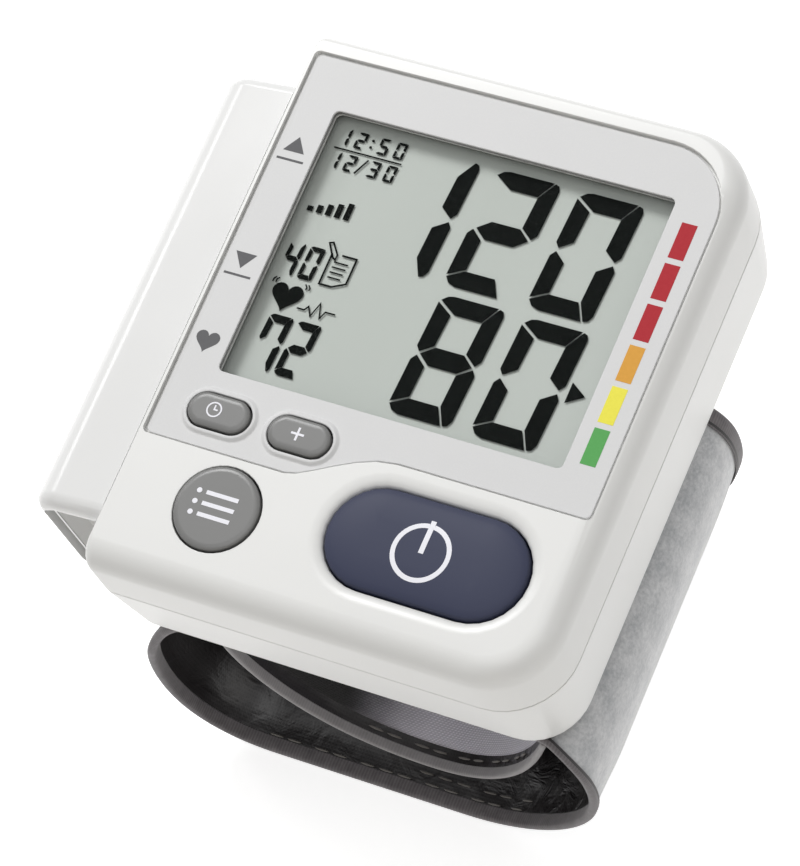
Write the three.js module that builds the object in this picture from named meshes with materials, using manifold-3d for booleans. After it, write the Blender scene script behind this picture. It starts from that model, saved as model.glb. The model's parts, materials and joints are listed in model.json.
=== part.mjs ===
// Wrist blood pressure monitor: housing with display and buttons, battery wing, and a wrapped cuff.
// Millimetres, +Z up. Pieces are drawn with the display window's centre on the housing's top plane at
// the origin (+X to the right of the read-out, +Y to its top), and the whole stands on the cuff.
import * as THREE from 'three';
import { mergeVertices } from 'three/addons/utils/BufferGeometryUtils.js';
import Module from 'manifold-3d';

const wasm = await Module();
wasm.setup();

// Display window and the overlay round it
const windowWidth = 48;
const windowHeight = 38.2;
const windowCorner = 0.8;
const panelLeftMargin = 5.6;
const panelRightMargin = 5.95;
const panelTopMargin = 7;
const panelBottomMargin = 5.2;
const panelLobeDrop = 5.2;
const panelLobeLength = 20;
const panelSweepLength = 13.6;
const panelSweepStart = 0.2;
const panelSweepEnd = 0.4;
const panelCorner = 0.8;
const panelLargeCorner = 9;
const panelThickness = 0.4;
const panelBond = 0.05;
const panelStep = 0.45;
const panelGroove = 0.3;
const lensLap = 1.4;
const lensThickness = 0.5;

// Housing
const rimLeft = 1.2;
const rimRight = 2.35;
const rimFar = 3.2;
const buttonFieldLength = 23.9;
const upperDepth = 10;
const wall = 1.8;
const topWall = 2.1;
const partingGap = 0.2;
const housingCornerRight = 9.5;
const housingCornerLeft = 1.6;
const topFillet = 3.4;
const rimFillet = 0.6;
const farFillet = 1.6;
const bottomFillet = 2;
const rightTaper = 2;
const nearTaper = 1.7;
const farTaper = 1.3;
const dishWidth = 1.8;
const dishDepth = 0.9;

// Buttons
const powerLength = 27;
const powerHeight = 13.5;
const powerFromRight = 20.1;
const powerFromNear = 13.8;
const powerRise = 0.6;
const powerCrown = 1;
const powerSpread = 6;
const memoryRadius = 5.63;
const memoryFromLeft = 15;
const memoryFromNear = 11.4;
const memoryRise = 0.5;
const smallLength = 8.5;
const smallHeight = 4.5;
const smallPitch = 11.4;
const smallFromLeft = 8.6;
const smallFromLobe = 4.8;
const smallRise = 0.45;
const smallCrown = 0.35;
const smallSpread = 0.8;
const smallRingWidth = 0.75;
const smallRingRise = 0.4;
const buttonGap = 0.25;
const buttonFlange = 0.9;
const smallFlange = 0.3;
const flangeThickness = 1.1;
const buttonTravel = 0.6;

// Display stack and board
const glassLapX = 1.4;
const glassLapNear = 1.3;
const glassLapFar = 2.1;
const glassThickness = 2;
const frameWall = 1.1;
const frameLedge = 1;
const connectorWidth = 1.8;
const connectorInset = 2.6;
const boardThickness = 1.6;
const boardDepth = 8.8;
const boardCorner = 10;
const boardEdgeGap = 1.2;
const boardNearGap = 6.2;
const switchSide = 6;
const smallSwitchSide = 4.2;
const switchHeight = 3.5;
const plungerRadius = 1.5;
const plungerDepth = 1;
const chipSide = 12;
const chipThickness = 1.4;
const buzzerRadius = 6;
const buzzerThickness = 2.4;

// Battery wing
const cellRadius = 5.25;
const cellLength = 43.3;
const cellNubRadius = 1.9;
const cellNubLength = 1.2;
const cellPitch = 10.65;
const cellClearance = 0.35;
const coverWall = 1.1;
const coverTopDrop = 0.5;
const coverSideRoom = 0.9;
const coverSlope = 1;
const coverRadius = 4.5;
const coverNearInset = 6.2;
const coverNearLip = 3.6;
const coverLipRound = 1.8;
const coverLipTop = 2.3;
const coverLipSide = 0.9;
const coverRib = 0.6;
const coverRibSpace = 1.1;
const coverRibSetback = 0.8;
const coverFarRoom = 5.6;
const coverGap = 0.05;
const tongueReach = 1.4;
const tongueHeight = 4;
const bayWall = 1.6;
const bayEndWall = 1.2;
const contactThickness = 0.5;
const springRoom = 3.2;
const contactHalf = 3.675;
const leafTip = 1.1;

// Pump and air line
const motorRadius = 6;
const motorLength = 18;
const pumpSide = 13;
const pumpLength = 11;
const pumpFromRight = 12.3;
const pumpNear = -9;
const pumpHeadroom = 0.6;
const spigotRadius = 1;
const spigotLength = 2.4;
const tubeBore = 1.3;
const tubeRadius = 2.1;
const manifoldLength = 12;
const manifoldWidth = 8;
const manifoldX = 0;
const manifoldY = -20;
const valveRadius = 4.5;
const valveLength = 12;
const sensorSide = 8;
const sensorThickness = 3.6;
const nippleRadius = 2;
const nippleFlange = 3.4;
const nippleFlangeThickness = 1.2;
const saddleThickness = 1.2;
const saddleFromEnd = 3;
const saddleDip = 0.35;
const postRadius = 1.6;
const nearPostSetback = 6;

// Screws
const screwRadius = 0.9;
const screwHeadRadius = 1.75;
const screwHeadHeight = 1.3;
const screwBite = 5;
const screwTubeWall = 0.9;
const bossRadius = 1.95;
const bossInsetX = 4.4;
const bossInsetNear = 4.6;
const bossInsetFar = 2.4;
const bossCornerX = 3.4;
const bossCornerY = 5.8;
const screwSeat = 6;

// Cuff
const cuffWidth = 51.5;
const cuffNearInset = 1;
const cuffDrop = 40;
const strapThickness = 3.2;
const strapEdge = 1;
const strapSetback = 2.2;
const strapSetbackDrop = 9;
const strapLeftReach = 5.8;
const strapRightReach = 1.2;
const strapTopInset = 7;
const strapFlatLeft = 12.6;
const strapFlatRight = 26.3;
const sleeveThickness = 2.6;
const sleeveEdge = 0.9;
const sleeveRise = 4;
const sleeveInset = 2.9;
const sleeveEndInset = 1;
const sleeveFall = 9;
const seamInset = 4;
const strapPulls = {
  leftHigh: 0.34,
  leftMiddle: 0.62,
  leftLow: 0.85,
  rightLow: 0.6,
  rightHigh: 0.2,
  shoulder: 0.07,
};
const sleevePulls = { leftHigh: 0, leftLow: 0.2, rightLow: 0.55, rightHigh: 0.85 };
const swellWidth = 9;
const clampThickness = 1.8;
const clampInset = 7;
const clampMargin = 4;
const clampCorner = 3;
const pegRadius = 1.5;
const pegInset = 8;

// Clearances
const fitGap = 0.3;
const seatGap = 0.2;

// How far a cut runs past the face it opens, and how finely round forms are divided
const past = 1;
const arcSteps = 6;
const roundSteps = 20;
const pinSteps = 12;
const barrelSteps = 26;
const coverSteps = 9;
const stadiumSteps = 14;
const crownSteps = 5;
const capSteps = 36;
const tubeSteps = 12;
const tubeTurnSteps = 6;
const cuffSteps = 12;
const sleeveSteps = 14;
const swellSteps = 3;
const repeatGap = 0.05;

// Places worked out from the sizes above
const windowLeft = -windowWidth / 2;
const windowRight = windowWidth / 2;
const windowNear = -windowHeight / 2;
const windowFar = windowHeight / 2;
const panelLeft = windowLeft - panelLeftMargin;
const panelRight = windowRight + panelRightMargin;
const panelFar = windowFar + panelTopMargin;
const panelNear = windowNear - panelBottomMargin;
const panelLobe = panelNear - panelLobeDrop;
const panelTop = -panelStep;
const panelLow = panelTop - panelThickness;
const panelRecess = panelStep + panelThickness + panelBond;
const housingLeft = panelLeft - rimLeft;
const housingRight = panelRight + rimRight;
const housingFar = panelFar + rimFar;
const housingNear = panelNear - buttonFieldLength;
const housingBottom = -boardDepth - boardThickness - pumpHeadroom - pumpSide - seatGap - wall;
const floorTop = housingBottom + wall;
const powerX = housingRight - powerFromRight;
const powerY = housingNear + powerFromNear;
const memoryX = housingLeft + memoryFromLeft;
const memoryY = housingNear + memoryFromNear;
const smallX = panelLeft + smallFromLeft;
const smallY = panelLobe + smallFromLobe;

// A closed mesh as a solid that can be joined and cut, and back again.
function solidOf(geometry) {
  const bare = geometry.clone();
  bare.deleteAttribute('normal');
  bare.deleteAttribute('uv');
  const merged = mergeVertices(bare, 1e-4);
  const mesh = new wasm.Mesh({
    numProp: 3,
    vertProperties: new Float32Array(merged.attributes.position.array),
    triVerts: new Uint32Array(merged.index.array),
  });
  mesh.merge();
  return new wasm.Manifold(mesh);
}

function geometryOf(solid) {
  const mesh = solid.getMesh();
  const geometry = new THREE.BufferGeometry();
  geometry.setAttribute('position', new THREE.BufferAttribute(mesh.vertProperties, 3));
  geometry.setIndex(new THREE.BufferAttribute(mesh.triVerts, 1));
  geometry.computeVertexNormals();
  return geometry;
}

function joined(first, ...others) {
  return others.reduce((sum, next) => sum.add(next), first);
}

function cutBy(first, ...others) {
  return others.reduce((rest, next) => rest.subtract(next), first);
}

// A rectangle with its own radius at each corner: near left, near right, far right, far left.
function roundedOutline(box, radii, steps = arcSteps) {
  const corners = [
    [box.left, box.near, 1, 1, Math.PI],
    [box.right, box.near, -1, 1, Math.PI * 1.5],
    [box.right, box.far, -1, -1, 0],
    [box.left, box.far, 1, -1, Math.PI / 2],
  ];
  const points = [];
  corners.forEach(([x, y, towardX, towardY, start], index) => {
    const radius = radii[index];
    for (let step = 0; step <= steps; step += 1) {
      const angle = start + (Math.PI / 2) * (step / steps);
      points.push(new THREE.Vector2(
        x + towardX * radius + radius * Math.cos(angle),
        y + towardY * radius + radius * Math.sin(angle),
      ));
    }
  });
  return points;
}

// A skin through a stack of outlines with equal point counts, closed at both ends.
function loft(rings) {
  const count = rings[0].points.length;
  const positions = [];
  rings.forEach(({ z, points }) => points.forEach((point) => positions.push(point.x, point.y, z)));
  const index = [];
  for (let ring = 0; ring < rings.length - 1; ring += 1) {
    for (let side = 0; side < count; side += 1) {
      const next = (side + 1) % count;
      const low = ring * count;
      const high = low + count;
      index.push(low + side, low + next, high + next);
      index.push(low + side, high + next, high + side);
    }
  }
  const last = (rings.length - 1) * count;
  THREE.ShapeUtils.triangulateShape(rings[0].points, []).forEach(([a, b, c]) => index.push(a, c, b));
  THREE.ShapeUtils.triangulateShape(rings[rings.length - 1].points, [])
    .forEach(([a, b, c]) => index.push(last + a, last + b, last + c));
  const geometry = new THREE.BufferGeometry();
  geometry.setAttribute('position', new THREE.Float32BufferAttribute(positions, 3));
  geometry.setIndex(index);
  return geometry;
}

function plate(shape, low, high, steps = arcSteps) {
  const geometry = new THREE.ExtrudeGeometry(shape, {
    depth: high - low,
    bevelEnabled: false,
    curveSegments: steps,
  });
  return geometry.translate(0, 0, low);
}

// A section drawn in X and Z, drawn out along Y.
function alongY(shape, near, far, steps = arcSteps) {
  const geometry = new THREE.ExtrudeGeometry(shape, {
    depth: far - near,
    bevelEnabled: false,
    curveSegments: steps,
  });
  return geometry.rotateX(Math.PI / 2).translate(0, far, 0);
}

// A skin through sections drawn in X and Z, each at its own place along Y, from far to near.
function loftAlongY(sections) {
  return loft(sections.map(({ y, points }) => ({ z: -y, points }))).rotateX(Math.PI / 2);
}

function block(left, right, near, far, low, high) {
  const geometry = new THREE.BoxGeometry(right - left, far - near, high - low);
  return geometry.translate((left + right) / 2, (near + far) / 2, (low + high) / 2);
}

function post(x, y, radius, low, high, sides = roundSteps) {
  const geometry = new THREE.CylinderGeometry(radius, radius, high - low, sides);
  return geometry.rotateX(Math.PI / 2).translate(x, y, (low + high) / 2);
}

function barrel(x, z, radius, near, far, sides = roundSteps) {
  const geometry = new THREE.CylinderGeometry(radius, radius, far - near, sides);
  return geometry.translate(x, (near + far) / 2, z);
}

function rectangle(box, radius) {
  return new THREE.Shape(roundedOutline(box, [radius, radius, radius, radius]));
}

// A long round-ended outline centred on a point, with a margin all round.
function stadiumPoints(x, y, length, height, margin = 0) {
  const radius = height / 2 + margin;
  const reach = (length - height) / 2;
  const points = [];
  for (const side of [1, -1]) {
    for (let step = 0; step <= stadiumSteps; step += 1) {
      const angle = Math.PI * (step / stadiumSteps - side / 2);
      points.push(new THREE.Vector2(
        x + side * reach + radius * Math.cos(angle),
        y + radius * Math.sin(angle),
      ));
    }
  }
  return points;
}

function stadium(x, y, length, height, margin = 0) {
  return new THREE.Shape(stadiumPoints(x, y, length, height, margin));
}

const model = new THREE.Group();
const standing = new THREE.Group();
model.add(standing);

function piece(name, geometry, colour, roughness, metalness = 0) {
  const material = new THREE.MeshStandardMaterial({ color: colour, roughness, metalness });
  const mesh = new THREE.Mesh(geometry, material);
  mesh.name = name;
  standing.add(mesh);
  return mesh;
}

const whiteAbs = '#e9e7e2';
const greyRubber = '#97979a';
const darkNavy = '#3d3d52';

// Housing outlines: the rim is drawn in by a different amount on each side
function housingRing(z, inset) {
  const box = {
    left: housingLeft + inset.left,
    right: housingRight - inset.right,
    near: housingNear + inset.near,
    far: housingFar - inset.far,
  };
  const corner = Math.max(housingCornerRight - (inset.right + inset.near) / 2, rimFillet);
  const small = Math.max(housingCornerLeft - inset.left, rimFillet / 2);
  return { z, points: roundedOutline(box, [small, corner, corner, small], arcSteps + 3) };
}

// Round-over rings from the straight side up to a flat end
function roundOver(low, high, base, sweep, steps) {
  const rings = [];
  for (let step = 0; step <= steps; step += 1) {
    const angle = (Math.PI / 2) * (step / steps);
    const inward = 1 - Math.cos(angle);
    rings.push(housingRing(low + (high - low) * Math.sin(angle), {
      left: base.left + sweep.left * inward,
      right: base.right + sweep.right * inward,
      near: base.near + sweep.near * inward,
      far: base.far + sweep.far * inward,
    }));
  }
  return rings;
}

const straightSides = { left: 0, right: 0, near: 0, far: 0 };
const topSweep = { left: rimFillet, right: topFillet, near: topFillet, far: farFillet };
const bottomSweep = { left: rimFillet, right: bottomFillet, near: bottomFillet, far: bottomFillet };
const taperedSides = { left: 0, right: rightTaper, near: nearTaper, far: farTaper };

// Battery bay and wing levels
const cellX = housingLeft + fitGap + bayWall - cellRadius;
const bayBack = cellX + cellRadius + cellClearance;
const coverOuter = cellX - cellRadius - cellClearance - coverSideRoom - coverWall;
const cellTopZ = -coverTopDrop - coverSlope - coverWall - cellRadius - cellClearance / 2;
const cellLowZ = cellTopZ - cellPitch;
const coverLow = cellLowZ - cellRadius - cellClearance - coverWall;
const coverNear = housingNear + coverNearInset;
const coverEndWall = coverNear + coverNearLip;
const bayNear = coverEndWall + coverWall + fitGap + bayEndWall;
const cellNear = bayNear + contactThickness + springRoom;
const cellFar = cellNear + cellLength;
const bayFar = cellFar + cellNubLength + contactThickness + seatGap * 2;
const coverFar = bayFar + bayEndWall + fitGap + coverFarRoom + coverWall;
const coverInner = housingLeft - coverGap;
const coverReach = rimFillet / 2 - coverGap;
const cavityLeft = bayBack + bayWall;

// The wing's section: a sloping top, a rounded shoulder and an upright outer wall
function coverSection(topInset, sideInset, right) {
  const top = -coverTopDrop - topInset;
  const outer = coverOuter + sideInset;
  const radius = coverRadius - sideInset;
  const low = coverLow + sideInset;
  const turns = [
    [top - coverSlope - radius, Math.PI / 2],
    [low + radius, Math.PI],
  ];
  const points = [new THREE.Vector2(right, top)];
  for (const [z, start] of turns) {
    for (let step = 0; step <= coverSteps; step += 1) {
      const angle = start + (Math.PI / 2) * (step / coverSteps);
      points.push(new THREE.Vector2(
        outer + radius + radius * Math.cos(angle),
        z + radius * Math.sin(angle),
      ));
    }
  }
  points.push(new THREE.Vector2(right, low));
  return points;
}

// Two tongues on the cover's end walls, and the slots for them in the housing's side
const tonguePlaces = [coverEndWall + coverWall / 2, coverFar - coverLipRound - coverWall / 2];

function tongue(y, gap) {
  const half = coverWall / 2 + gap;
  return block(
    coverInner - coverWall / 2,
    housingLeft + tongueReach + gap,
    y - half,
    y + half,
    cellTopZ - gap,
    cellTopZ + tongueHeight + gap,
  );
}

// Screw places
const screwPlaces = [
  [cavityLeft + bossRadius + fitGap, housingNear + bossInsetNear],
  [housingRight - housingCornerRight + bossCornerX, housingNear + bossCornerY],
  [cavityLeft + bossInsetX + bossRadius, housingFar - wall - bossInsetFar],
  [housingRight - housingCornerRight - bossInsetX, housingFar - wall - bossInsetFar],
];

const screwTubeRadius = screwHeadRadius + seatGap + screwTubeWall;

// Levels of the display stack
const lensTop = -panelRecess - seatGap / 2;
const glassTop = -topWall - fitGap;
const boardTop = -boardDepth;
const boardLow = boardTop - boardThickness;
const flangeTop = -topWall - fitGap;
const flangeLow = flangeTop - flangeThickness;
const switchTop = boardTop + switchHeight;

// The overlay's outline: one large corner, and a lobe below that sweeps up round the start button
function panelShape(grow) {
  const left = panelLeft - grow;
  const right = panelRight + grow;
  const far = panelFar + grow;
  const near = panelNear - grow;
  const lobe = panelLobe - grow;
  const lobeEnd = panelLeft + panelLobeLength;
  const sweepEnd = lobeEnd + panelSweepLength;
  const large = panelLargeCorner + grow;
  const shape = new THREE.Shape();
  shape.moveTo(left + panelCorner, lobe);
  shape.lineTo(lobeEnd, lobe);
  shape.bezierCurveTo(
    lobeEnd + panelSweepLength * panelSweepStart,
    lobe,
    sweepEnd - panelSweepLength * panelSweepEnd,
    near,
    sweepEnd,
    near,
  );
  shape.lineTo(right - panelCorner, near);
  shape.absarc(right - panelCorner, near + panelCorner, panelCorner, -Math.PI / 2, 0, false);
  shape.lineTo(right, far - large);
  shape.absarc(right - large, far - large, large, 0, Math.PI / 2, false);
  shape.lineTo(left + panelCorner, far);
  shape.absarc(left + panelCorner, far - panelCorner, panelCorner, Math.PI / 2, Math.PI, false);
  shape.lineTo(left, lobe + panelCorner);
  shape.absarc(left + panelCorner, lobe + panelCorner, panelCorner, Math.PI, Math.PI * 1.5, false);
  return shape;
}

function windowBox(grow) {
  return {
    left: windowLeft - grow,
    right: windowRight + grow,
    near: windowNear - grow,
    far: windowFar + grow,
  };
}

const smallPlaces = [
  ['clock', smallX],
  ['plus', smallX + smallPitch],
];

// Upper shell: a filleted cap, hollow inside, with a dish round the start button
function upperShell() {
  const outer = loft([
    housingRing(-upperDepth + partingGap / 2, straightSides),
    ...roundOver(-topFillet, 0, straightSides, topSweep, arcSteps),
  ]);
  const cavityBox = {
    left: cavityLeft,
    right: housingRight - wall,
    near: housingNear + wall,
    far: housingFar - wall,
  };
  const cavityCorner = housingCornerRight - wall;
  const cavityOutline = roundedOutline(
    cavityBox,
    [rimFillet, cavityCorner, cavityCorner, rimFillet],
    arcSteps,
  );
  const cavity = loft([
    { z: -upperDepth - past, points: cavityOutline },
    { z: -topWall, points: cavityOutline },
  ]);
  let shell = solidOf(outer).subtract(solidOf(cavity));
  for (const [x, y] of screwPlaces) {
    shell = shell.add(solidOf(post(x, y, bossRadius, -upperDepth + partingGap / 2, -topWall + fitGap)));
    shell = shell.subtract(solidOf(
      post(x, y, screwRadius + seatGap, -upperDepth - past, -topWall - screwRadius),
    ));
  }
  shell = shell.add(solidOf(bayEnds(-upperDepth + partingGap / 2, 0)));
  const lensPocket = rectangle(windowBox(lensLap + seatGap), windowCorner);
  const powerWell = stadium(powerX, powerY, powerLength, powerHeight, buttonGap);
  return cutBy(
    shell,
    solidOf(plate(panelShape(panelGroove), -panelRecess, past)),
    solidOf(powerDish()),
    solidOf(plate(lensPocket, lensTop - lensThickness - seatGap, 0)),
    solidOf(plate(rectangle(windowBox(seatGap), windowCorner), -topWall - past, 0)),
    solidOf(plate(powerWell, -topWall - past, past)),
    solidOf(post(memoryX, memoryY, memoryRadius + buttonGap, -topWall - past, past, capSteps)),
    ...smallPlaces.map(([, x]) => solidOf(
      plate(stadium(x, smallY, smallLength, smallHeight, buttonGap), -topWall - past, past),
    )),
    solidOf(bayHollow()),
    ...tonguePlaces.map((y) => solidOf(tongue(y, fitGap))),
  );
}

// The dish round the power button: the well's edge, rounded over from the top face
function powerDish() {
  const ringAt = (z, margin) => ({
    z,
    points: stadiumPoints(powerX, powerY, powerLength, powerHeight, buttonGap + margin),
  });
  const rings = [];
  for (let step = crownSteps; step >= 0; step -= 1) {
    const angle = (Math.PI / 2) * (step / crownSteps);
    rings.push(ringAt(-dishDepth * (1 - Math.cos(angle)), dishWidth * (1 - Math.sin(angle))));
  }
  return loft([...rings, ringAt(past, dishWidth)]);
}

// The open side of the battery bay, cut out of both shells
function bayHollow() {
  return block(
    housingLeft - cellRadius,
    bayBack,
    bayNear,
    bayFar,
    cellLowZ - cellRadius - cellClearance,
    cellTopZ + cellRadius + cellClearance,
  );
}

// Two end walls that stand out of the housing's side and carry the contacts
function bayEnds(low, high) {
  const radius = coverRadius - coverWall - fitGap;
  const outline = roundedOutline(
    { left: cellX - cellRadius, right: bayBack, near: cellLowZ - cellRadius, far: cellTopZ + cellRadius },
    [radius, rimFillet / 2, rimFillet / 2, radius],
    arcSteps,
  );
  const section = new THREE.Shape(outline);
  const pair = joined(
    solidOf(alongY(section, bayNear - bayEndWall, bayNear)),
    solidOf(alongY(section, bayFar, bayFar + bayEndWall)),
  );
  const slice = block(
    cellX - 2 * cellRadius,
    bayBack,
    bayNear - 2 * bayEndWall,
    bayFar + 2 * bayEndWall,
    low,
    high,
  );
  return geometryOf(pair.intersect(solidOf(slice)));
}

// Lower shell: tapering tray with screw tubes, board posts and saddles for the pump and valve
function lowerShell() {
  const rim = -upperDepth - partingGap / 2;
  const bottomStart = housingBottom + bottomFillet;
  const bottomRings = roundOver(bottomStart, housingBottom, taperedSides, bottomSweep, arcSteps - 2);
  const outer = loft([...bottomRings.reverse(), housingRing(rim, straightSides)]);
  const corner = housingCornerRight - wall;
  const cavityRing = (z, inset) => ({
    z,
    points: roundedOutline(
      {
        left: cavityLeft,
        right: housingRight - wall - inset.right,
        near: housingNear + wall + inset.near,
        far: housingFar - wall - inset.far,
      },
      [rimFillet, corner, corner, rimFillet],
      arcSteps,
    ),
  });
  const cavity = loft([cavityRing(floorTop, taperedSides), cavityRing(rim + past, straightSides)]);
  let shell = solidOf(outer).subtract(solidOf(cavity));
  const bounds = solidOf(outer);
  for (const [x, y] of screwPlaces) {
    const tube = solidOf(post(x, y, screwTubeRadius, housingBottom, rim));
    shell = shell.add(tube.intersect(bounds));
  }
  for (const [x, y] of boardPosts) {
    shell = shell.add(solidOf(post(x, y, postRadius, floorTop - wall / 2, boardLow - seatGap, pinSteps)));
  }
  for (const y of [motorNear + saddleFromEnd, motorNear + motorLength - saddleFromEnd]) {
    shell = shell.add(solidOf(saddle(pumpX, pumpZ, motorRadius, y)));
  }
  shell = shell.add(solidOf(saddle(manifoldX, valveZ, valveRadius, valveNear + valveLength / 2)));
  shell = shell.add(solidOf(bayEnds(housingBottom, rim)));
  const holes = screwPlaces.flatMap(([x, y]) => [
    solidOf(post(x, y, screwHeadRadius + seatGap, housingBottom - past, housingBottom + screwSeat)),
    solidOf(post(x, y, screwRadius + seatGap, housingBottom, rim + past)),
  ]);
  const pegHoles = pegPlaces.map(([x, y]) => solidOf(
    post(x, y, pegRadius + fitGap, housingBottom - past, floorTop + past, pinSteps),
  ));
  const airHole = solidOf(airPost(nippleRadius + fitGap, housingBottom - past, floorTop + past));
  return cutBy(shell, ...holes, ...pegHoles, airHole, solidOf(bayHollow()));
}

// A rib from the floor with a round seat for a barrel that lies along Y
function saddle(x, z, radius, y) {
  const rib = solidOf(block(
    x - radius,
    x + radius,
    y - saddleThickness / 2,
    y + saddleThickness / 2,
    floorTop - wall / 2,
    z - radius * saddleDip,
  ));
  const seat = solidOf(barrel(x, z, radius + seatGap, y - saddleThickness, y + saddleThickness, barrelSteps));
  return geometryOf(rib.subtract(seat));
}

function airPost(radius, low, high) {
  return post(manifoldX, manifoldY, radius, low, high, pinSteps);
}

const pumpX = housingRight - pumpFromRight;
const pumpZ = floorTop + pumpSide / 2 + seatGap;
const motorNear = pumpNear + pumpLength + seatGap;
const valveZ = floorTop + valveRadius + saddleThickness;
const valveNear = manifoldY + manifoldWidth / 2 + seatGap;
const boardPosts = [
  [cavityLeft + 2 * postRadius, smallY],
  [housingRight - wall - rightTaper - 2 * postRadius, manifoldY - nearPostSetback],
  [cavityLeft + 2 * postRadius, windowFar - 2 * postRadius],
  [manifoldX + 4 * postRadius, windowFar - 2 * postRadius],
];
const cuffNear = housingNear + cuffNearInset;
const cuffFar = cuffNear + cuffWidth;
const strapTop = housingBottom - fitGap;
const strapLow = housingBottom - cuffDrop;
const clampTop = strapTop - strapThickness - fitGap;
const clampLow = clampTop - clampThickness;
const pegPlaces = [
  [housingLeft + clampInset + pegInset, cuffNear + clampMargin + pegInset],
  [housingRight - clampInset - pegInset, cuffNear + clampMargin + pegInset],
  [housingLeft + clampInset + pegInset, cuffFar - clampMargin - pegInset],
  [housingRight - clampInset - pegInset, cuffFar - clampMargin - pegInset],
];

piece('upper_shell', geometryOf(upperShell()), whiteAbs, 0.32);
piece('lower_shell', geometryOf(lowerShell()), whiteAbs, 0.35);

// Battery cover: the wing's skin, rounded over at both ends, with an end wall set back behind a
// thick near lip and a thin rib that stiffens the open end. Its top reaches over the housing's rim.
function batteryCover() {
  const ringAt = (y, inward) => {
    const points = coverSection(inward, inward, coverInner);
    const underReach = new THREE.Vector2(coverInner, points[0].y - coverWall);
    points[0].x += coverReach * (1 - inward / coverLipRound);
    return { y, points: [...points, underReach] };
  };
  const farRings = [];
  const nearRings = [];
  for (let step = 0; step <= arcSteps; step += 1) {
    const angle = (Math.PI / 2) * (step / arcSteps);
    const inward = coverLipRound * (1 - Math.sin(angle));
    const setback = coverLipRound * (1 - Math.cos(angle));
    farRings.push(ringAt(coverFar - setback, inward));
    nearRings.unshift(ringAt(coverNear + setback, inward));
  }
  const skin = solidOf(loftAlongY([...farRings, ...nearRings]));
  const open = coverInner + past;
  const bay = new THREE.Shape(coverSection(coverWall, coverWall, open));
  const mouth = new THREE.Shape(coverSection(coverLipTop, coverLipSide, open));
  const ribLeft = coverOuter + coverLipSide + coverRibSpace;
  const rib = block(
    ribLeft,
    ribLeft + coverRib,
    coverNear + coverRibSetback,
    coverEndWall + coverWall / 2,
    coverLow,
    -coverTopDrop,
  );
  const shell = cutBy(
    skin,
    solidOf(alongY(bay, coverEndWall + coverWall, coverFar - coverLipRound)),
    solidOf(alongY(mouth, coverNear - past, coverEndWall)),
  );
  const ribInside = solidOf(rib).intersect(skin);
  return joined(shell, ribInside, ...tonguePlaces.map((y) => solidOf(tongue(y, 0))));
}

piece('battery_cover', geometryOf(batteryCover()), whiteAbs, 0.32);

// Overlay a step below the housing's top, with raised rims round the two small buttons
function facePanel() {
  let panel = solidOf(plate(panelShape(0), panelLow, panelTop));
  for (const [, x] of smallPlaces) {
    const ring = (z, width) => ({
      z,
      points: stadiumPoints(x, smallY, smallLength, smallHeight, buttonGap + width),
    });
    const rim = loft([
      ring(panelLow + panelThickness / 2, smallRingWidth),
      ring(panelTop, smallRingWidth),
      ring(panelTop + smallRingRise, smallRingWidth / 2),
    ]);
    panel = panel.add(solidOf(rim));
  }
  return cutBy(
    panel,
    solidOf(plate(rectangle(windowBox(0), windowCorner), panelLow - past, panelTop + past)),
    ...smallPlaces.map(([, x]) => solidOf(
      plate(stadium(x, smallY, smallLength, smallHeight, buttonGap), panelLow - past, panelTop + past),
    )),
  );
}

piece('face_panel', geometryOf(facePanel()), '#dcdddd', 0.42);

const lensShape = rectangle(windowBox(lensLap), windowCorner);
piece('display_window', plate(lensShape, lensTop - lensThickness, lensTop), '#eef2f2', 0.05);

// Display glass, its frame on the board, and the two rubber connector strips
const glassBox = {
  left: windowLeft - glassLapX,
  right: windowRight + glassLapX,
  near: windowNear - glassLapNear,
  far: windowFar + glassLapFar,
};
const glassLow = glassTop - glassThickness;
const glass = block(glassBox.left, glassBox.right, glassBox.near, glassBox.far, glassLow, glassTop);
piece('lcd_glass', glass, '#b9c3bc', 0.2);

function grown(box, margin) {
  return {
    left: box.left - margin,
    right: box.right + margin,
    near: box.near - margin,
    far: box.far + margin,
  };
}

function lcdFrame() {
  const outer = grown(glassBox, seatGap + frameWall);
  const pocket = grown(glassBox, seatGap);
  const opening = grown(glassBox, -frameLedge);
  return cutBy(
    solidOf(plate(rectangle(outer, windowCorner), boardTop + seatGap, glassTop)),
    solidOf(plate(rectangle(pocket, windowCorner / 2), glassLow - seatGap, glassTop + past)),
    solidOf(plate(rectangle(opening, windowCorner / 2), boardTop - past, glassTop + past)),
  );
}

piece('lcd_frame', geometryOf(lcdFrame()), '#d8d8d4', 0.5);

const connectorPlaces = [
  ['lcd_connector_far', glassBox.far - connectorInset],
  ['lcd_connector_near', glassBox.near + connectorInset],
];
for (const [name, y] of connectorPlaces) {
  const strip = block(
    glassBox.left + frameLedge + connectorInset,
    glassBox.right - frameLedge - connectorInset,
    y - connectorWidth / 2,
    y + connectorWidth / 2,
    boardTop + seatGap,
    glassLow - seatGap,
  );
  piece(name, strip, '#c98a8f', 0.7);
}

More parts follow.
